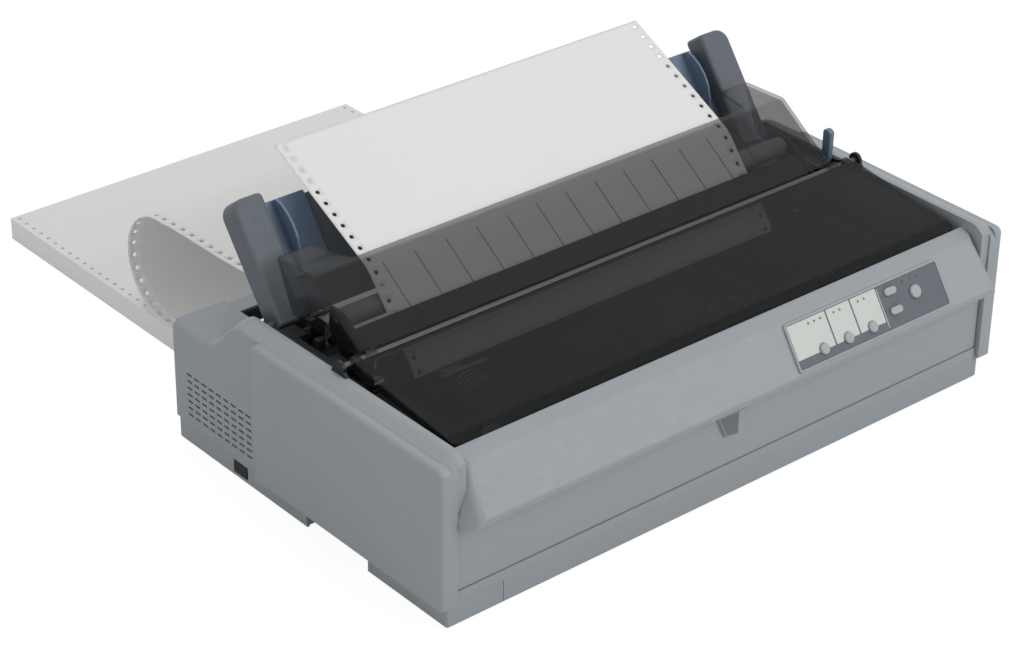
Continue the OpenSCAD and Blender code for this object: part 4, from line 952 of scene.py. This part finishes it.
# %% Punched web
pitch, paper_w, paper_left, hole_r = 12.7, 406.4, -213.4, 2.0
cell_count = round(web_length / pitch)
sides = np.arange(16)
cell_turn = np.radians(sides * 22.5)
circle = np.stack([np.cos(cell_turn), np.sin(cell_turn)], 1)
square = circle / np.abs(circle).max(1, keepdims=True) * pitch / 2
hole = hole_r * circle
cell_quads = np.stack([sides, (sides + 1) % 16, (sides + 1) % 16 + 16, sides + 16], 1)
square_levels = np.unique(np.round(square[:, 1], 4))
middle_xs = np.linspace(pitch, paper_w - pitch, 25)


def strip(x_middle, middles):
    """Strip of punched cells: 16 points on a square round 16 on a circle, one cell at each middle."""
    cell = np.concatenate([square, hole])
    points = cell[None] + np.stack([np.full(len(middles), x_middle), middles], 1)[:, None]
    quads = cell_quads[None] + 32 * np.arange(len(middles))[:, None, None]
    return points.reshape(-1, 2), quads.reshape(-1, 4)


def patch(xs, ys):
    """Plain grid of quads over two lists of lines."""
    gx, gy = np.meshgrid(xs, ys, indexing="ij")
    i, j = np.meshgrid(np.arange(len(xs) - 1), np.arange(len(ys) - 1), indexing="ij")
    k = i * len(ys) + j
    quads = np.stack([k, k + len(ys), k + len(ys) + 1, k + 1], -1).reshape(-1, 4)
    return np.stack([gx.ravel(), gy.ravel()], 1), quads


def flat_sheet(middles):
    """The whole sheet, flat: two punched strips and the plain middle, on the same cross lines."""
    ys = np.unique(np.round((middles[:, None] + square_levels).ravel(), 3))
    parts = [strip(pitch / 2, middles), strip(paper_w - pitch / 2, middles), patch(middle_xs, ys)]
    points, quads, size = [], [], 0
    for part, around in parts:
        points.append(part)
        quads.append(around + size)
        size += len(part)
    return np.concatenate(points), np.concatenate(quads)


middles = pitch * (np.arange(cell_count) + 0.5)
flat, quads = flat_sheet(middles)
flat = flat * [1, web_length / (cell_count * pitch)]
along = np.clip(flat[:, 1], 0, web_length)
y_at, z_at = np.interp(along, steps_along, path[:, 0]), np.interp(along, steps_along, path[:, 1])
stack_shift, shift_y, wrapped = -14.0, 170, 40
loop_start = steps_along[-loop_count - 2]
drifting = stack_shift * (y_at - shift_y) / (loop_centre[0] - shift_y)
shift = np.where(along >= loop_start, stack_shift, np.where(y_at > shift_y, drifting, 0))
shift = np.where(along < steps_along[wrapped], 0, shift)
web = np.stack([paper_left + flat[:, 0] + shift, y_at, z_at], 1)


def paper_piece(name, points, quads, uv, material, stands_for, thickness):
    """Paper as a sheet with its own UV map in millimetres, given a thickness both ways."""
    mesh = bpy.data.meshes.new(name)
    mesh.from_pydata((points * 0.001).tolist(), [], quads.tolist())
    layer = mesh.uv_layers.new(name="sheet")
    corners = np.zeros(len(mesh.loops), int)
    mesh.loops.foreach_get("vertex_index", corners)
    layer.data.foreach_set("uv", uv[corners].ravel())
    work = bmesh.new()
    work.from_mesh(mesh)
    bmesh.ops.remove_doubles(work, verts=work.verts, dist=0.00001)
    bmesh.ops.recalc_face_normals(work, faces=work.faces)
    work.to_mesh(mesh)
    work.free()
    mesh.polygons.foreach_set("use_smooth", np.ones(len(mesh.polygons), bool))
    mesh.materials.append(material)
    thing = linked(name, mesh)
    thick = thing.modifiers.new("thickness", "SOLIDIFY")
    thick.thickness, thick.offset = thickness * 0.001, 0.0
    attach(thing, "case")
    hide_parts(*stands_for)
    return thing


web_piece = paper_piece("paper_web_sheet", web, quads, flat, web_paper, ["paper_web"], 0.3)
print("web", len(web_piece.data.polygons), "faces,", 2 * cell_count, "holes")

# %% [markdown]
# The folded stack
#
# Fan-folded paper lies in a stack whose holes line up, so they read as dark wells. The top is the same punched
# sheet; each well is a short tube; the sides are level rings, pulled in by a seeded random drift, as cut edges
# and folds wander. Sheet by sheet it would be hundreds of pieces for the same look.

# %% Stack
stack_left, stack_right = -227.4, 179.0
stack_cells, well_depth = 22, 6
stack_middles = stack_start + pitch * (np.arange(stack_cells) + 0.5)
stack_flat, stack_quads = flat_sheet(stack_middles - stack_start)
top = np.stack([stack_left + stack_flat[:, 0], stack_start + stack_flat[:, 1],
                np.full(len(stack_flat), stack_z)], 1)


def wells(x_middle):
    """Tubes under the holes: the hole's ring at the top, again at the well's depth, and a floor."""
    mouth = np.stack([hole[:, 0], hole[:, 1], np.zeros(len(hole))], 1)
    tube = loft(np.stack([mouth, mouth - [0, 0, well_depth]]))
    tube = tube[0], tube[1][:-2] + [tube[1][-1]]
    return copies(tube, np.stack([np.full(stack_cells, x_middle), stack_middles,
                                  np.full(stack_cells, stack_z)], 1))


def side(xs, ys):
    """One side of the rim over xs and ys, without its last point, where the next side starts."""
    return np.stack(np.broadcast_arrays(xs, ys), 1)[:-1]


level_count = 24
wander = np.random.default_rng(7)
drift = np.cumsum(wander.normal(0, 0.10, (level_count, 4)), axis=0)
drift = drift - drift[0] - np.linspace(0, 1, level_count)[:, None] * (drift[-1] - drift[0])
pulled_in = np.minimum(0.5 * np.abs(drift[:, :2]), 0.9)
edge_y = np.unique(np.round((stack_middles[:, None] + square_levels).ravel(), 3))
edge_x = np.unique(np.round(np.concatenate([
    stack_left + np.concatenate([[0, paper_w], middle_xs]), stack_left + pitch / 2 + square_levels,
    stack_right - pitch / 2 + square_levels]), 3))
around_top = np.concatenate([side(edge_x, edge_y[0]), side(edge_x[-1], edge_y), side(edge_x[::-1], edge_y[-1]),
                             side(edge_x[0], edge_y[::-1])])
from_middle = around_top - around_top.mean(0)
outward = np.sign(np.round(from_middle, 3)) * (
    np.abs(from_middle) > np.array([paper_w, pitch * stack_cells]) / 2 - 0.05)
rim = np.stack([np.insert(around_top - outward * pulled, 2, level, axis=1)
                for pulled, level in zip(pulled_in, np.linspace(stack_z, 0, level_count))])
side_points, side_faces = loft(rim)
side_faces = side_faces[:-2] + [side_faces[-1]]
stack_shape = together((top, stack_quads.tolist()), wells(stack_left + pitch / 2),
                       wells(stack_right - pitch / 2), (side_points, side_faces))
stack_piece = piece("paper_stack_sheets", stack_shape, "case", stack_paper, ["paper_stack"], sharp=50)
print("stack", len(stack_piece.data.polygons), "faces")

# %% [markdown]
# The mechanism
#
# Inside, the CAD solids already have their true shapes. A raw CAD mesh is loose triangles with knife-sharp
# edges, though, and real sheet metal and mouldings always catch a line of light. So each is copied, its
# triangles merged into the faces they came from, and its edges broken with a narrow bevel. Rubber, nylon and
# the ribbon keep theirs: gear teeth and thin strips have no room for one.

# %% Dress the inner nodes
flat_angle, smooth_angle, bevel_angle, edge_mm = 0.6, 32, 35, 0.25


def dressed(node, material, bevel_mm):
    """Copy of a CAD node with merged faces, smooth curved sides and broken edges, in its place."""
    mesh = frame["nodes"][node].data.copy()
    work = bmesh.new()
    work.from_mesh(mesh)
    bmesh.ops.remove_doubles(work, verts=work.verts, dist=0.00001)
    bmesh.ops.dissolve_limit(work, angle_limit=math.radians(flat_angle), verts=work.verts, edges=work.edges)
    work.to_mesh(mesh)
    work.free()
    mesh.polygons.foreach_set("use_smooth", np.ones(len(mesh.polygons), bool))
    mesh.set_sharp_from_angle(angle=math.radians(smooth_angle))
    mesh.materials.clear()
    mesh.materials.append(material)
    thing = linked(node + "_dressed", mesh)
    if bevel_mm:
        soft = thing.modifiers.new("broken_edges", "BEVEL")
        soft.width, soft.segments, soft.limit_method = bevel_mm * 0.001, 2, "ANGLE"
        soft.angle_limit = math.radians(bevel_angle)
        soft.harden_normals = True
    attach(thing, body_of[node])
    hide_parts(node)
    return thing


inner_finish = {
    dark_sheet: ["base_frame", "side_frame_left", "side_frame_right"],
    zinc_sheet: ["feed_motor", "carriage_motor", "power_supply", "print_head", "interface_port", "base_screws"],
    ground_steel: ["platen_shaft", "tractor_shaft", "support_shaft", "guide_shaft"],
    natural_nylon: ["platen_gear", "idler_gear_front", "idler_gear_rear", "motor_pinion", "tractor_gear",
                    "sprocket_left", "sprocket_right", "drive_pulley", "idler_pulley", "ribbon_knob"],
    satin_black: ["tractor_left", "tractor_right", "tractor_lid_left", "tractor_lid_right", "carriage",
                  "ribbon_cartridge", "tension_frame", "power_inlet"],
    ground_rubber: ["platen", "drive_belt"],
    roller_grey: ["exit_roller"], board_green: ["mainboard"], ribbon_weave: ["ribbon"]}
for material, names in inner_finish.items():
    for name in names:
        dressed(name, material, 0.0 if material in (natural_nylon, ribbon_weave, ground_rubber) else edge_mm)
print("inner pieces", sum(len(names) for names in inner_finish.values()))

# %% [markdown]
# Floor, light and camera
#
# The photograph is a studio cut-out on a white ground. The floor stays pale and keeps a faint shadow. To the
# camera the floor and the world are lifted towards white with Light Path, so that no extra light falls on the
# printer; glossy and see-through surfaces are shown the same white world.

# %% Floor and world
floor_lift, floor_glow, sky_level, floor_reach = 0.85, 1.10, 0.52, 6
scene = bpy.context.scene
scene.view_settings.view_transform = "Standard"
floor_mesh = bpy.data.meshes.new("floor")
floor_mesh.from_pydata([(x * floor_reach, y * floor_reach, 0) for x, y in ((-1, -1), (1, -1), (1, 1), (-1, 1))],
                       [], [(0, 1, 2, 3)])
floor = linked("floor", floor_mesh)
floor_finish, floor_tree, floor_shader = material_start("floor_white")
floor_shader.inputs["Base Color"].default_value = (0.86, 0.86, 0.86, 1)
floor_shader.inputs["Roughness"].default_value = 0.9
floor_shader.inputs["Specular IOR Level"].default_value = 0.1
seen = add(floor_tree, "LightPath")
lifted = reckon(floor_tree, "MULTIPLY", seen.outputs["Is Camera Ray"], floor_lift)
glow = add(floor_tree, "Emission", {"Color": (1, 1, 1, 1), "Strength": floor_glow})
blend = add(floor_tree, "MixShader", {0: lifted, 1: floor_shader.outputs[0], 2: glow.outputs[0]})
floor_tree.links.new(blend.outputs[0], floor_tree.nodes["Material Output"].inputs["Surface"])
floor_mesh.materials.append(floor_finish)

world = bpy.data.worlds.new("studio")
scene.world = world
world.use_nodes = True
sky = world.node_tree
sky.nodes.clear()
ray = add(sky, "LightPath")
either = reckon(sky, "MAXIMUM", ray.outputs["Is Camera Ray"], ray.outputs["Is Glossy Ray"])
any_seen = reckon(sky, "MAXIMUM", either, ray.outputs["Is Transmission Ray"])
level = add(sky, "MapRange", {"Value": any_seen, "To Min": sky_level, "To Max": 1.0})
background = add(sky, "Background", {"Color": (1, 1, 1, 1), "Strength": level.outputs[0]})
sky_end = add(sky, "OutputWorld")
sky.links.new(background.outputs[0], sky_end.inputs["Surface"])
print("floor", 2 * floor_reach, "m wide")

# %% [markdown]
# Lamps and camera
#
# A broad soft box stands at the front right, a weaker one overhead and a faint fill at the left, at a level at
# which the greys render about as they are written. The camera was solved from straight edges of the machine
# in the photograph; its place and its three directions are kept as numbers.

# %% Lamps and camera
lit_point = (0, 0, 0.1)


def soft_lamp(name, place, size, watts):
    """Square soft box at a place, turned towards the lit point."""
    data = bpy.data.lights.new(name, "AREA")
    data.shape, data.size, data.energy = "SQUARE", size, watts
    lamp = bpy.data.objects.new(name, data)
    scene.collection.objects.link(lamp)
    lamp.location = place
    away = np.array(place) - np.array(lit_point)
    turn = math.atan2(away[1], away[0])
    tilt = math.atan2(math.hypot(away[0], away[1]), away[2])
    lamp.rotation_euler = (0, tilt, turn)


soft_lamp("key", (1.2, -2.5, 1.7), 2.0, 32)
soft_lamp("top", (0.2, 0.6, 2.6), 1.8, 13)
soft_lamp("fill", (-2.4, -0.8, 1.2), 1.6, 2.5)

photo_camera = bpy.data.cameras.new("photo_camera")
camera = bpy.data.objects.new("photo_camera", photo_camera)
scene.collection.objects.link(camera)
right = np.array([0.7641152, -0.6449548, 0.0126975])
up = np.array([0.3160657, 0.3914752, 0.8642046])
forward = np.array([0.5623437, 0.6563386, -0.5029803])
turned_to = np.eye(4)
turned_to[:3, 0], turned_to[:3, 1], turned_to[:3, 2] = right, up, -forward
turned_to[:3, 3] = (-1.4707171, -1.6148839, 1.3444874)
camera.matrix_world = mathutils.Matrix(turned_to.tolist())
photo_camera.lens, photo_camera.sensor_width = 102.27713, 36
photo_camera.clip_start, photo_camera.clip_end = 0.05, 60
scene.camera = camera
print("camera with a", round(photo_camera.lens, 1), "mm lens")
